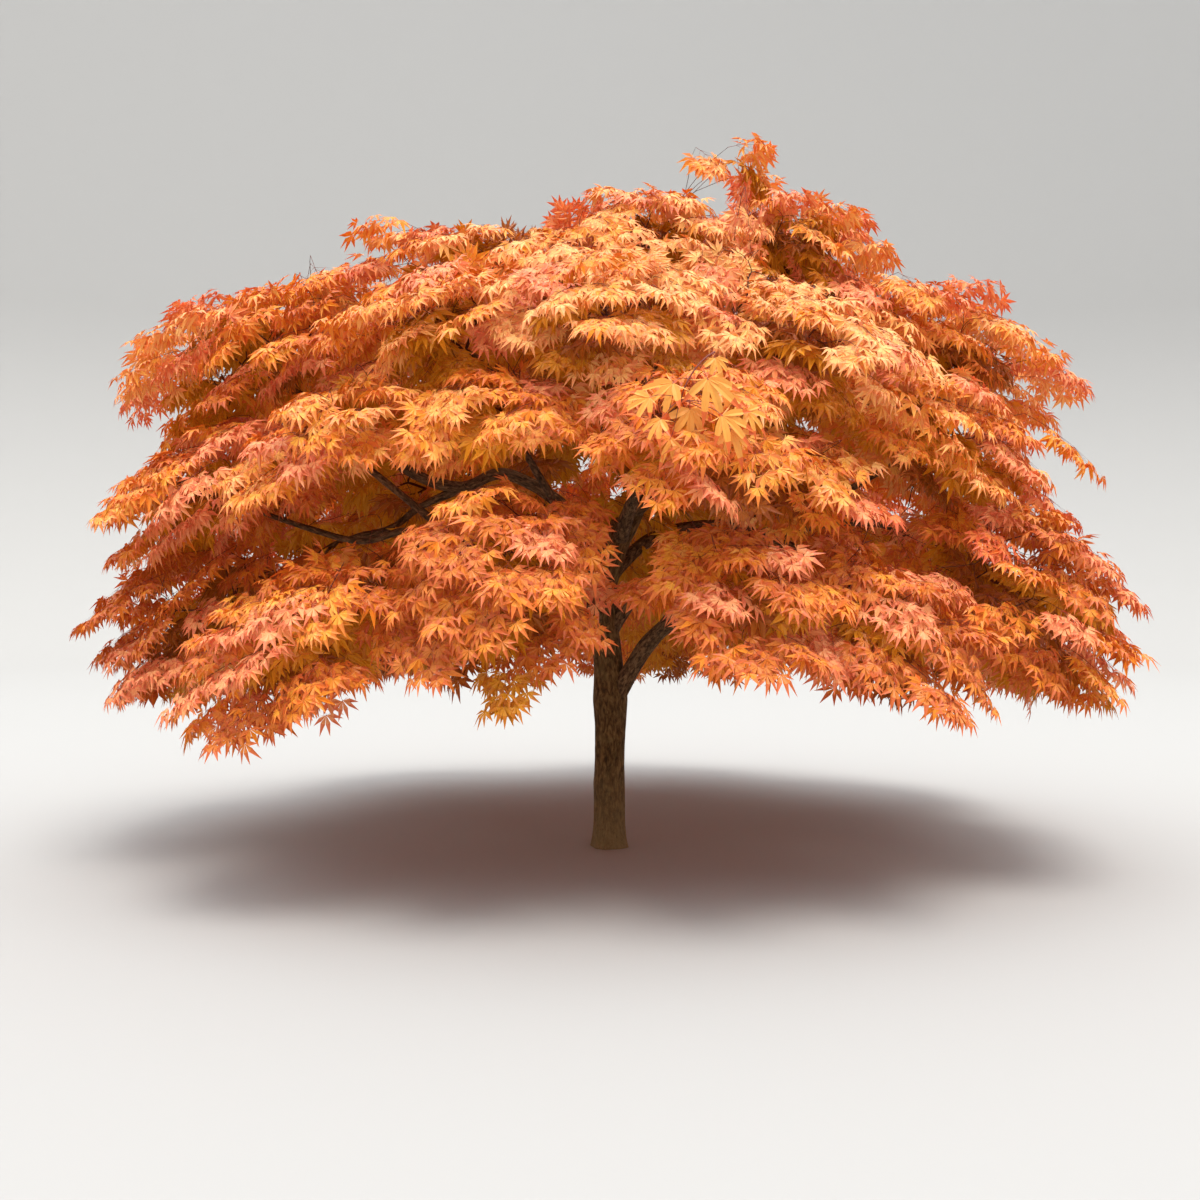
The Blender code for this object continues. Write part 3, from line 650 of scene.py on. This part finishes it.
def limbSprays(way, limb, rng):
    # short twigs along a bare limb, leaning up, out and away from the front, each with one spray
    count = growth[limb + "Sprays"]
    places = [pointAt(way, share) for share in rng.uniform(*growth["limbStretch"][limb], count)]
    places = np.array(places)
    lean = unit(rng.normal(0.0, 1.0, (count, 3)) * [0.8, 0.4, 0.7] + [0.0, 1.3, 0.3])
    lean[:, 1] = np.abs(lean[:, 1])
    bases = places + lean * rng.uniform(0.10, 0.32, (count, 1))
    along = unit(lean + awayFromTrunk(places) * 0.5 - up * 0.25)
    face = squareTo(up + rng.normal(0.0, 0.2, (count, 3)), along)
    twigs = [(place, unit(turnTo), base, ahead, growth["twigRadius"] * 1.1, growth["twigRadius"])
             for place, turnTo, base, ahead in zip(places, lean, bases, along)]
    return twigs, {"base": bases, "along": along, "face": face,
                   "length": growth["sprayLength"] * rng.uniform(0.7, 1.1, count),
                   "inner": np.ones(count), "proud": np.zeros(count)}


sprays = {key: [] for key in ("mass", "base", "along", "face", "length", "inner", "proud")}
branchRows = []


def addSprays(massIndex, rows):
    for key, values in rows.items():
        sprays[key].append(values)
    sprays["mass"].append(np.full(len(rows["base"]), massIndex))


for massIndex, massName in enumerate(masses):
    rng = np.random.default_rng(100 + massIndex)
    triangles, middle, picked = pickSprays(massName, rng)
    addSprays(massIndex, picked)
    hub, heading = findHub(massName, triangles, middle)
    growForks(hub, heading, picked["base"], picked["along"], rng, branchRows)
    limb = "leader" if massName == "top_centre" else "bough"
    frontLimb = massName not in massWays or massWays[massName][-1, 1] < growth["bareFront"]
    if frontLimb and limb == "bough":
        continue
    twigs, more = limbSprays(massWays[massName], limb, rng)
    branchRows += twigs
    addSprays(massIndex, more)
sprays = {key: np.concatenate(rows) for key, rows in sprays.items()}
sprayCount = len(sprays["base"])
print("sprays:", sprayCount, "branches:", len(branchRows))

# the boughs' bark

boughTubes = []
for boughIndex, (boughName, row) in enumerate(boughRows.items()):
    way = massWays[row[4]]

    def boughRadius(along, angles, way=way):
        # tapering radius with a collar where it leaves its parent
        collar = 1.0 + barkRelief["collar"] * np.exp(-along / barkRelief["collarLength"])
        return (np.interp(along, lengthsAlong(way), way[:, 3]) * collar)[:, None] + 0 * angles[None, :]

    def boughRelief(around, along, way=way, seed=boughIndex):
        # the same noise as on the trunk, in shares of the bough's radius
        size = np.interp(along[:, 0], lengthsAlong(way), way[:, 3])[:, None]
        return size * sum(noiseLayer(around, along, cells, cellsAround, firstSeed + seed, height)
                          for cells, cellsAround, firstSeed, height in barkRelief["boughLayers"])

    points, grain, faces = barkTube(way, limbDetail["boughSides"], boughRadius, boughRelief)
    boughTubes.append((points, grain + [0.0, 0.0, boughIndex * limbDetail["grainShift"]], faces))

trunkPiece = barkPiece("trunkAndLeader", [spineTube], trunkBark)
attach(trunkPiece, "root")
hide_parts("trunk", "leader")
boughPiece = barkPiece("boughs", boughTubes, boughBark)
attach(boughPiece, "root")
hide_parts(*boughRows)
print("bark triangles:", len(trunkPiece.data.polygons), len(boughPiece.data.polygons))


# branches and twigs: many thin tubes worked out at once

def thinTubes(start, startPull, end, endPull, startRadius, endRadius, stations, sides, pointed):
    # Hermite curves from start to end, each with a ring of `sides` points at every station; the
    # ends are closed by flat caps, or the far end runs to a point
    t = np.linspace(0.0, 1.0, stations)[None, :, None]
    a, b = start[:, None], end[:, None]
    pullA, pullB = startPull[:, None], endPull[:, None]
    path = (a * (2 * t ** 3 - 3 * t ** 2 + 1) + pullA * (t ** 3 - 2 * t ** 2 + t)
            + b * (3 * t ** 2 - 2 * t ** 3) + pullB * (t ** 3 - t ** 2))
    tangents = unit(a * (6 * t ** 2 - 6 * t) + pullA * (3 * t ** 2 - 4 * t + 1)
                    + b * (6 * t - 6 * t ** 2) + pullB * (3 * t ** 2 - 2 * t))
    steep = np.abs(tangents[:, :1, 2:]) > 0.85
    guide = np.where(steep, np.array([1.0, 0.1, 0.0]), np.array([0.1, 0.0, 1.0]))
    side = unit(np.cross(tangents, guide))
    other = np.cross(tangents, side)
    radius = startRadius[:, None] + (endRadius - startRadius)[:, None] * t[:, :, 0]
    angles = np.arange(sides) * turn / sides
    ring = side[:, :, None] * np.cos(angles)[:, None] + other[:, :, None] * np.sin(angles)[:, None]
    points = path[:, :, None] + ring * radius[:, :, None, None]
    count, rings = len(start), stations - 1 if pointed else stations
    each = rings * sides + (1 if pointed else 0)
    points = points[:, :rings].reshape(count, rings * sides, 3)
    if pointed:
        points = np.concatenate([points, end[:, None]], axis=1)
    first = np.arange(count)[:, None, None] * each
    index = first + np.arange(rings * sides).reshape(1, rings, sides)
    beside = np.roll(index, -1, axis=2)
    faces = [ringFaces(index.swapaxes(0, 1), beside.swapaxes(0, 1))]
    for corner in range(1, sides - 1):
        faces.append(np.stack([index[:, 0, 0], index[:, 0, corner + 1], index[:, 0, corner]], axis=-1))
        if not pointed:
            last = index[:, -1]
            faces.append(np.stack([last[:, 0], last[:, corner], last[:, corner + 1]], axis=-1))
    if pointed:
        peak = np.broadcast_to(first[:, 0] + each - 1, (count, sides))
        faces.append(np.stack([index[:, -1], beside[:, -1], peak], axis=-1).reshape(-1, 3))
    return points.reshape(-1, 3), np.vstack(faces)


def plainMaterial(name, colour, roughness, specular=0.5, glow=0.0):
    material = bpy.data.materials.new(name)
    material.use_nodes = True
    shader = material.node_tree.nodes["Principled BSDF"]
    shader.inputs["Base Color"].default_value = colour
    shader.inputs["Roughness"].default_value = roughness
    shader.inputs["Specular IOR Level"].default_value = specular
    if glow:
        shader.inputs["Emission Color"].default_value = colour
        shader.inputs["Emission Strength"].default_value = glow
    return material


# a spray: a drooping main twig with three pairs of side twigs, and leaves in pairs along them
sprayPlan = {
    "sidePairs": ((0.22, 0.95, 0.44), (0.46, 0.82, 0.40), (0.70, 0.68, 0.30)),  # at, turn, length
    "mainPairsAt": (0.34, 0.58, 0.84),
    "placeSway": (0.03, 0.025),  # of the leaf pairs and of the side twigs
    "turnSway": 0.16,
    "sideTurnSway": 0.12,
    "tipTurnSway": 0.15,
    "sideSag": 0.10,
    "middleAt": 0.55,  # where the side twigs' inner leaves stand
}
sprayRng = np.random.default_rng(41)
along, face, reach = sprays["along"], sprays["face"], sprays["length"][:, None]
across = np.cross(face, along)
allSprays = np.arange(sprayCount)
leafRows = {"anchor": [], "way": [], "spray": [], "level": []}


def mainPoint(share):  # along the main twig, falling with the square of the share
    share = np.reshape(share, (-1, 1))
    return sprays["base"] + along * reach * share - up * reach * growth["sag"] * share ** 2


def turned(angle):
    return along * np.cos(angle)[:, None] + across * np.sin(angle)[:, None]


def addLeaves(anchor, way, level):  # level: 0 at the ends of twigs, 1 in the thick of the spray
    leafRows["anchor"].append(anchor)
    leafRows["way"].append(way)
    leafRows["spray"].append(allSprays)
    leafRows["level"].append(np.full(sprayCount, level))


tip = mainPoint(1.0)
twigRadius = np.full(sprayCount, growth["twigRadius"] * 0.8)
shootParts = [thinTubes(sprays["base"], along * reach, tip, (along - up * 2 * growth["sag"]) * reach,
                        twigRadius, twigRadius * 0.3, 4, 3, True)]
addLeaves(tip, turned(sprayRng.normal(0.0, sprayPlan["tipTurnSway"], sprayCount)), 0.0)
for share in sprayPlan["mainPairsAt"]:
    place = mainPoint(share + sprayRng.normal(0.0, sprayPlan["placeSway"][0], sprayCount))
    for hand in (1.0, -1.0):
        angle = hand * sprayRng.normal(1.0 - 0.35 * share, sprayPlan["turnSway"], sprayCount)
        addLeaves(place, turned(angle), 0.4)
for share, angle, length in sprayPlan["sidePairs"]:
    root = mainPoint(share + sprayRng.normal(0.0, sprayPlan["placeSway"][1], sprayCount))
    for hand in (1.0, -1.0):
        angles = hand * angle + sprayRng.normal(0.0, sprayPlan["sideTurnSway"], sprayCount)
        sideReach = reach * length * sprayRng.uniform(0.8, 1.2, (sprayCount, 1))
        fall = up * reach * (sprayPlan["sideSag"] + growth["sag"] * share) * 0.6
        pull = turned(angles) * sideReach
        end = root + pull - fall
        shootParts.append(thinTubes(root, pull, end, pull - fall * 2, twigRadius * 0.7, twigRadius * 0.3,
                                    2, 3, True))
        addLeaves(end, turned(angles * 0.9 + sprayRng.normal(0.0, 0.14, sprayCount)), 0.2)
        for side in (1.0, -1.0):
            inner = angles + side * sprayRng.normal(0.9, sprayPlan["turnSway"], sprayCount)
            addLeaves(root + (end - root) * sprayPlan["middleAt"], turned(inner), 0.8)
leafRows = {key: np.concatenate(rows) for key, rows in leafRows.items()}
leafCount = len(leafRows["anchor"])
print("leaves:", leafCount)

# a leaf's shape, in lengths of its middle lobe

leafShape = {
    "turns": (0.0, 0.60, -0.60, 1.20, -1.20),  # of the five long lobes
    "lengths": (1.0, 0.94, 0.94, 0.74, 0.74),
    "halfWidth": 0.112,
    "widestAt": 0.44,
    "smallTurn": 1.88,  # of the two short lobes beside the stalk
    "smallLength": 0.40,
    "tipFrom": 0.75,  # a lobe has the tip colour from here on
    "fold": 0.040,
    "droop": 0.34,
    "stalk": 0.42,
    "stalkWidth": 0.012,
    "size": 0.074,  # length of the middle lobe
    "kinds": 8,
}


def leafKind(rng, stations, halfWidth, spread):
    # each long lobe is a strip of left, rib and right points at the stations, which swells as a
    # sine and ends in a point; everything sinks with the square of its distance from the stalk.
    # With no stations a lobe is two faces folded along its middle.
    points, faces, zones = [(0.0, 0.0, 0.0)], [], []

    def place(angle, forward, sideways, lift, sink):
        x = math.cos(angle) * forward - math.sin(angle) * sideways
        y = math.sin(angle) * forward + math.cos(angle) * sideways
        points.append((x, y, lift - sink * forward ** 2))
        return len(points) - 1

    for angle, length in zip(leafShape["turns"], leafShape["lengths"]):
        angle = angle * spread * rng.uniform(0.9, 1.1) + rng.normal(0.0, 0.05)
        length = length * rng.uniform(0.9, 1.08)
        wide = halfWidth * rng.uniform(0.88, 1.12)
        sink = leafShape["droop"] * rng.uniform(0.5, 1.5)
        bend = rng.normal(0.0, 0.05)
        if not stations:
            right = place(angle, leafShape["widestAt"] * length, -wide, leafShape["fold"], sink)
            point = place(angle, length, bend, 0.0, sink)
            left = place(angle, leafShape["widestAt"] * length, wide, leafShape["fold"], sink)
            faces += [(0, right, point), (0, point, left)]
            zones += [0, 0] if abs(angle) < 0.9 else [1, 1]
            continue
        before = None
        for station in stations:
            swell = math.sin(math.pi * station ** 0.85)
            row = [place(angle, station * length, hand * wide * swell + bend * station ** 2,
                         leafShape["fold"] * swell * abs(hand), sink) for hand in (-1.0, 0.0, 1.0)]
            zone = 0 if station < leafShape["tipFrom"] else 1
            if before is None:
                faces += [(0, row[0], row[1]), (0, row[1], row[2])]
                zones += [zone] * 2
            else:
                faces += [(before[0], row[0], row[1]), (before[0], row[1], before[1]),
                          (before[1], row[1], row[2]), (before[1], row[2], before[2])]
                zones += [zone] * 4
            before = row
        point = place(angle, length, bend, 0.0, sink)
        faces += [(before[0], point, before[1]), (before[1], point, before[2])]
        zones += [1, 1]
    for hand in (1.0, -1.0):
        angle = hand * leafShape["smallTurn"] * spread * rng.uniform(0.93, 1.07)
        length = leafShape["smallLength"] * rng.uniform(0.8, 1.2)
        point = place(angle, length, 0.0, 0.0, 0.1)
        wide = place(angle - hand * 0.16, length * 0.5, 0.0, 0.0, 0.1)
        faces.append((0, point, wide) if hand < 0 else (0, wide, point))
        zones.append(0)
    root = place(math.pi, leafShape["stalk"], 0.0, 0.0, 0.0)
    sides = [place(0.0, 0.03, hand * leafShape["stalkWidth"], 0.004, 0.0) for hand in (-1.0, 1.0)]
    faces.append((root, sides[0], sides[1]))
    zones.append(2)
    return np.array(points), np.array(faces), np.array(zones)


def leafKinds(stations, halfWidth, seed, spread=1.0):
    rng = np.random.default_rng(seed)
    kinds = [leafKind(rng, stations, halfWidth, spread) for kind in range(leafShape["kinds"])]
    return np.array([kind[0] for kind in kinds]), kinds[0][1], kinds[0][2]


leafFamilies = {"fine": leafKinds((leafShape["widestAt"],), leafShape["halfWidth"], 5),
                "plain": leafKinds((), leafShape["halfWidth"] * 1.15, 6),
                "large": leafKinds((0.14, 0.3, 0.48, 0.68, 0.86), 0.090, 7, 0.94)}

# tints by name: colour of the blade near the stalk, and of the lobes' tips
tints = {
    "gold": ((252, 191, 112), (248, 164, 100)),
    "amber": ((249, 177, 84), (244, 148, 80)),
    "orange": ((243, 162, 54), (237, 133, 54)),
    "tangerine": ((236, 144, 46), (228, 118, 48)),
    "coral": ((218, 123, 46), (210, 102, 48)),
    "salmon": ((246, 162, 104), (236, 128, 84)),
    "rose": ((234, 128, 62), (222, 98, 54)),
    # painted shade: the next two tints, darker and yellower, are given to the sprays inside the crown and
    # on each mass's shaded side, and stand in for shade and for light through the leaves
    "shadeOchre": ((212, 138, 30), (200, 116, 24)),
    "shadeRust": ((172, 94, 26), (154, 76, 24)),
    "flame": ((247, 168, 76), (231, 108, 50)),
}
tintNames = list(tints)
tintLook = {
    # slow waves of tint through the crown: heading and length of each, and where it starts
    "waves": (((2.1, 1.3, 1.7), 0.4), ((-1.6, 2.4, 2.2), 2.0), ((3.1, -2.0, -2.6), 4.1)),
    "tierScore": {"top": 0.12, "shoulder": 0.26, "side": 0.46, "skirt": 0.84},  # 0 gold, 1 coral
    # rightward: sprays further right lean towards gold, a painted light for the brighter right side of the
    # crown
    "waveSize": 0.12, "spread": 0.16, "paintedLightRightward": -0.05, "salmonShare": 0.21,
    "roseReach": 2.42, "proudRoseReach": 1.5,  # further out than this the sprays are rose
    "shadeFrom": -0.42, "shadeShare": 0.75, "shadeRustShare": 0.3,
    "strayShare": 0.36,  # of the leaves are one tint off their spray's
    "roughness": 0.42, "specular": 0.35, "glow": 0.05, "shadeGlow": 0.08}
leafMaterials = []
for tintName, zoneColours in tints.items():
    # the shade tints glow more than the rest, a painted light that lifts the shaded leaves
    glow = tintLook["shadeGlow"] if tintName in ("shadeOchre", "shadeRust") else tintLook["glow"]
    for zoneName, colour in zip(("Blade", "Tip"), zoneColours):
        leafMaterials.append(plainMaterial(tintName + zoneName, linear(*colour), tintLook["roughness"],
                                           tintLook["specular"], glow))
leafMaterials.append(plainMaterial("leafStalk", linear(176, 66, 44), 0.5))

leafRng = np.random.default_rng(77)


def dealTints():
    # each spray's place between gold and coral: its tier, a painted light that leans it towards gold
    # further right, slow waves through the crown, and chance
    tierScores = np.array([tintLook["tierScore"][name.split("_")[0]] for name in masses])
    place = sprays["base"]
    score = tierScores[sprays["mass"]] + tintLook["paintedLightRightward"] * place[:, 0]
    for heading, shift in tintLook["waves"]:
        score = score + tintLook["waveSize"] * np.sin(place @ heading + shift)
    score = score + leafRng.normal(0.0, tintLook["spread"], sprayCount)
    tint = np.clip((score * 5).astype(int), 0, 4)
    tint[leafRng.random(sprayCount) < tintLook["salmonShare"]] = tintNames.index("salmon")
    far = np.linalg.norm(place[:, :2], axis=1) + leafRng.normal(0.0, 0.1, sprayCount)
    proud = (sprays["proud"] > 0) & (far > tintLook["proudRoseReach"])
    tint[(far > tintLook["roseReach"]) | proud] = tintNames.index("rose")
    # painted shade: sprays on the side of their mass that faces the trunk and the ground, away from the
    # light, take the shade tints too
    middles = np.array([middleOf(name) for name in masses])[sprays["mass"]]
    sunward = unit(awayFromTrunk(middles) * 0.6 + up * 0.8)
    facing = (unit(place - middles) * sunward).sum(axis=1) + leafRng.normal(0.0, 0.12, sprayCount)
    shaded = facing < tintLook["shadeFrom"]
    shaded &= leafRng.random(sprayCount) < tintLook["shadeShare"]
    inner = (sprays["inner"] > 0) | shaded
    shadeRust = leafRng.random(sprayCount) < tintLook["shadeRustShare"]
    tint[inner] = np.where(shadeRust, tintNames.index("shadeRust"), tintNames.index("shadeOchre"))[inner]
    return tint


sprayTint = dealTints()
leafTint = sprayTint[leafRows["spray"]]
step = np.where(leafRng.random(leafCount) < tintLook["strayShare"], leafRng.choice((-1, 1), leafCount), 0)
leafTint = np.where(leafTint < 5, np.clip(leafTint + step, 0, 4), leafTint)

leafPlan = {
    "sway": 0.12,
    "hang": (0.25, 1.0),  # how far a leaf's heading is pulled down
    "faceAway": 0.30,
    "faceSway": 0.26,
    "sizeSway": 0.13,
    "sizeLimits": (0.7, 1.4),
    "innerSize": 1.15,  # times as large in the shade
    "plainFrom": 0.5,  # level of the spray from which a leaf has plain lobes
    "lostShare": 0.04,
    "room": (0.026, 0.006),  # beyond the frame's box: share of its side, and metres
}
leafWay = unit(leafRows["way"] + leafRng.normal(0.0, leafPlan["sway"], (leafCount, 3))
               - up * leafRng.uniform(*leafPlan["hang"], (leafCount, 1)))
leafFace = (face[leafRows["spray"]] + awayFromTrunk(leafRows["anchor"]) * leafPlan["faceAway"]
            + leafRng.normal(0.0, leafPlan["faceSway"], (leafCount, 3)))
leafInner = sprays["inner"][leafRows["spray"]] > 0
leafSize = leafRng.normal(1.0, leafPlan["sizeSway"], leafCount).clip(*leafPlan["sizeLimits"])
leafSize = leafShape["size"] * leafSize * np.where(leafInner, leafPlan["innerSize"], 1.0)
leafTable = {"origin": leafRows["anchor"] + leafWay * (leafShape["stalk"] * leafSize)[:, None],
             "way": leafWay, "face": squareTo(leafFace, leafWay), "size": leafSize, "tint": leafTint,
             "kind": leafRng.integers(0, leafShape["kinds"], leafCount),
             "family": np.where(leafInner | (leafRows["level"] > leafPlan["plainFrom"]), 1, 0),
             "mass": sprays["mass"][leafRows["spray"]]}
kept = leafRng.random(leafCount) > leafPlan["lostShare"]
leafTable = {key: rows[kept] for key, rows in leafTable.items()}

# one shoot of large leaves hangs down the front of the crown. Its place is a share of its mass's box;
# each leaf is how far across and above the stem's end it starts, its turn from hanging, and length
closeShoot = {"mass": "side_front", "root": (0.53, 0.25, 0.90), "stem": (-0.12, -0.07, -0.17),
              "leaves": ((-0.01, 0.07, -50, 0.155), (-0.06, -0.06, -34, 0.12), (0.03, -0.01, 6, 0.15),
                         (0.03, -0.085, -3, 0.155), (0.08, 0.085, 26, 0.165), (0.12, -0.045, 46, 0.155),
                         (0.21, -0.03, 60, 0.11), (0.16, -0.09, 26, 0.13), (0.13, 0.03, 76, 0.11),
                         (-0.09, 0.01, -66, 0.12), (0.11, 0.15, 22, 0.10), (-0.03, -0.12, -22, 0.12)),
              "depthSway": (-0.05, 0.03), "headingSway": 0.05, "faceSway": 0.16, "stalkShare": 0.3,
              "stemThick": 2.6, "stalkThick": 1.1, "tint": "flame"}


def hangShoot():
    # the stem hangs from its root; each leaf has its own thin stalk from the stem and faces the front
    rng = np.random.default_rng(9)
    low, high = np.array(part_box(closeShoot["mass"]))
    root = low + (high - low) * closeShoot["root"]
    stem = np.array(closeShoot["stem"])
    stemEnd = root + stem
    rows = {key: [] for key in leafTable}
    stems = [(root, stem * [1.2, 1.2, 0.4], stemEnd, stem * [0.4, 0.2, 1.3])]
    for sideways, rise, turnTo, length in closeShoot["leaves"]:
        start = stemEnd + [sideways, rng.uniform(*closeShoot["depthSway"]), rise]
        angle = math.radians(turnTo)
        way = np.array([math.sin(angle), -0.16, -math.cos(angle)])
        way = unit(way + rng.normal(0.0, closeShoot["headingSway"], 3))
        facing = np.array([math.sin(angle) * 0.5, -1.0, 0.5])
        facing = facing + rng.normal(0.0, closeShoot["faceSway"], 3)
        joint = root + stem * np.clip(1.0 + rise / stem[2], 0.35, 1.0)
        stems.append((joint, (start - joint) * [0.7, 0.7, 0.2], start, way * 0.06))
        rows["origin"].append(start + way * leafShape["stalk"] * length * closeShoot["stalkShare"])
        rows["way"].append(way)
        rows["face"].append(squareTo(facing, way))
        rows["size"].append(length)
        rows["tint"].append(tintNames.index(closeShoot["tint"]))
        rows["kind"].append(rng.integers(0, leafShape["kinds"]))
        rows["family"].append(2)
        rows["mass"].append(masses.index(closeShoot["mass"]))
    return {key: np.array(values) for key, values in rows.items()}, stems


largeLeaves, hangingStems = hangShoot()
leafTable = {key: np.concatenate([leafTable[key], largeLeaves[key]]) for key in leafTable}
start, startPull, end, endPull = (np.array(column) for column in zip(*hangingStems))
stemThick = np.full(len(start), growth["twigRadius"] * closeShoot["stalkThick"])
stemThick[0] = growth["twigRadius"] * closeShoot["stemThick"]
shootParts.append(thinTubes(start, startPull, end, endPull, stemThick, stemThick * 0.5, 7, 5, False))


def layLeaves(family, chosen):
    # origin + way * x + side * y + face * z, for every leaf and every point of its kind at once
    points, faces, zones = leafFamilies[family]
    rows = {key: values[chosen] for key, values in leafTable.items()}
    shape = points[rows["kind"]] * rows["size"][:, None, None]
    side = np.cross(rows["face"], rows["way"])
    laid = (rows["origin"][:, None] + rows["way"][:, None] * shape[..., :1]
            + side[:, None] * shape[..., 1:2] + rows["face"][:, None] * shape[..., 2:])
    inside = ((laid > boxLow) & (laid < boxHigh)).all(axis=(1, 2))
    laid, tint = laid[inside], rows["tint"][inside]
    allFaces = (faces[None] + (np.arange(len(laid)) * points.shape[1])[:, None, None]).reshape(-1, 3)
    stalkSlot = len(leafMaterials) - 1
    slots = np.where(zones[None] == 2, stalkSlot, tint[:, None] * 2 + zones[None]).ravel()
    return laid.reshape(-1, 3), allFaces, slots


# leaves that would stand outside the frame's box, with a little room, are left out
boxLow, boxHigh = np.array(frameBox[0]), np.array(frameBox[1])
room = leafPlan["room"][0] * (boxHigh - boxLow) + leafPlan["room"][1]
boxLow, boxHigh = boxLow - room, boxHigh + room

leafGroups = [(tier, back) for tier in tiers for back in (False, True)]
for tier, back in leafGroups:
    frontName = "" if tier == "top" else "Front"
    groupName = "leaves" + tier.capitalize() + ("Back" if back else frontName)
    names = [name for name in masses if name.startswith(tier) and ("back" in name) == back]
    wanted = np.isin(leafTable["mass"], [masses.index(name) for name in names])
    laid = [layLeaves(family, np.flatnonzero(wanted & (leafTable["family"] == number)))
            for number, family in enumerate(leafFamilies)]
    points, faces = joinMeshes([part[:2] for part in laid])
    piece = makePiece(groupName, points, faces, leafMaterials, np.concatenate([part[2] for part in laid]))
    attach(piece, "root")
    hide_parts(*names)
    print(groupName, len(faces), "triangles")

# the branches and the sprays' twigs become one piece each

start, heading, end, endHeading, thick, thin = (np.array(column) for column in zip(*branchRows))
pull = np.linalg.norm(end - start, axis=1, keepdims=True) * growth["pull"]
heavy = thick > growth["twigRadius"] * 1.5
branchParts = [
    thinTubes(start[chosen], (heading * pull)[chosen], end[chosen], (endHeading * pull)[chosen],
              thick[chosen], thin[chosen], stations, sides, False)
    for chosen, stations, sides in ((heavy, 5, 5), (~heavy, 4, 3))]
twigPieces = {"branches": (branchParts, "twigBark", linear(84, 44, 32), 0.7),
              "shoots": (shootParts, "shootBark", linear(132, 56, 38), 0.6)}
for pieceName, (parts, materialName, colour, roughness) in twigPieces.items():
    points, faces = joinMeshes(parts)
    material = plainMaterial(materialName, colour, roughness)
    piece = makePiece(pieceName, points, faces, [material], smooth=True)
    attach(piece, "root")
    print(pieceName, len(faces), "triangles")

# studio: a pale floor that sweeps up into a wall all round, soft light and the camera

stageLook = {
    "paint": (0.50, 0.495, 0.485, 1.0), "flatRadius": 14.0, "bendRadius": 6.0, "wallHeight": 14.0,
    "sides": 96, "flatRings": 10, "bendRings": 12, "zenith": 2.15, "horizon": 0.60,
    "skyColour": (0.96, 0.98, 1.0, 1.0), "sunStrength": 1.7, "sunAngle": 30.0,
    "sunTurn": (19.0, 9.0, 0.0), "sunColour": (1.0, 0.96, 0.90)}


def studioSweep():
    # a profile turned about the upright axis: flat, a quarter circle, then straight up
    bend = np.linspace(0.0, np.pi / 2, stageLook["bendRings"] + 1)[1:]
    flat, curve, rings = (stageLook[key] for key in ("flatRadius", "bendRadius", "flatRings"))
    radii = np.concatenate([np.linspace(0.5, flat, rings), flat + curve * np.sin(bend), [flat + curve]])
    heights = np.concatenate([np.zeros(rings), curve * (1 - np.cos(bend)), [stageLook["wallHeight"]]])
    angles = np.arange(stageLook["sides"]) * turn / stageLook["sides"]
    points = np.stack([radii[:, None] * np.cos(angles), radii[:, None] * np.sin(angles),
                       heights[:, None] + 0 * angles], axis=-1).reshape(-1, 3)
    index = np.arange(len(points)).reshape(len(radii), len(angles))
    beside = np.roll(index, -1, axis=1)
    middle = np.stack([index[0], beside[0], np.full(len(angles), len(points))], axis=-1)
    return np.vstack([points, [[0.0, 0.0, 0.0]]]), np.vstack([ringFaces(index, beside)[:, ::-1], middle])


sweepPoints, sweepFaces = studioSweep()
sweep = makePiece("studioSweep", sweepPoints, sweepFaces,
                  [plainMaterial("palePaint", stageLook["paint"], 0.9, 0.2)], smooth=True)

world = bpy.data.worlds.new("softSky")
world.use_nodes = True
tree = world.node_tree
background = tree.nodes["Background"]
background.inputs["Color"].default_value = stageLook["skyColour"]
split = addNode(tree, "ShaderNodeSeparateXYZ")
tree.links.new(addNode(tree, "ShaderNodeTexCoord").outputs["Generated"], split.inputs[0])
brightness = wire(tree, "ShaderNodeMapRange", {"Value": split.outputs["Z"]}, None, {
    "From Min": 0.0, "From Max": 1.0, "To Min": stageLook["horizon"], "To Max": stageLook["zenith"]})
tree.links.new(brightness, background.inputs["Strength"])
bpy.context.scene.world = world

sunData = bpy.data.lights.new("softSun", "SUN")
sunData.energy = stageLook["sunStrength"]
sunData.angle = math.radians(stageLook["sunAngle"])
sunData.color = stageLook["sunColour"]
sun = bpy.data.objects.new("softSun", sunData)
sun.rotation_euler = [math.radians(value) for value in stageLook["sunTurn"]]
bpy.context.scene.collection.objects.link(sun)

viewpoint = {"place": (-0.045, -6.3, 1.3), "pitch": 1.28, "lens": 40.26}
cameraData = bpy.data.cameras.new("gardenCamera")
cameraData.lens = viewpoint["lens"]
cameraData.sensor_width = 36.0
cameraData.clip_end = 400.0
camera = bpy.data.objects.new("gardenCamera", cameraData)
camera.location = viewpoint["place"]
camera.rotation_euler = (math.radians(90.0 - viewpoint["pitch"]), 0.0, 0.0)
bpy.context.scene.collection.objects.link(camera)
bpy.context.scene.camera = camera
bpy.context.scene.view_settings.view_transform = "Standard"
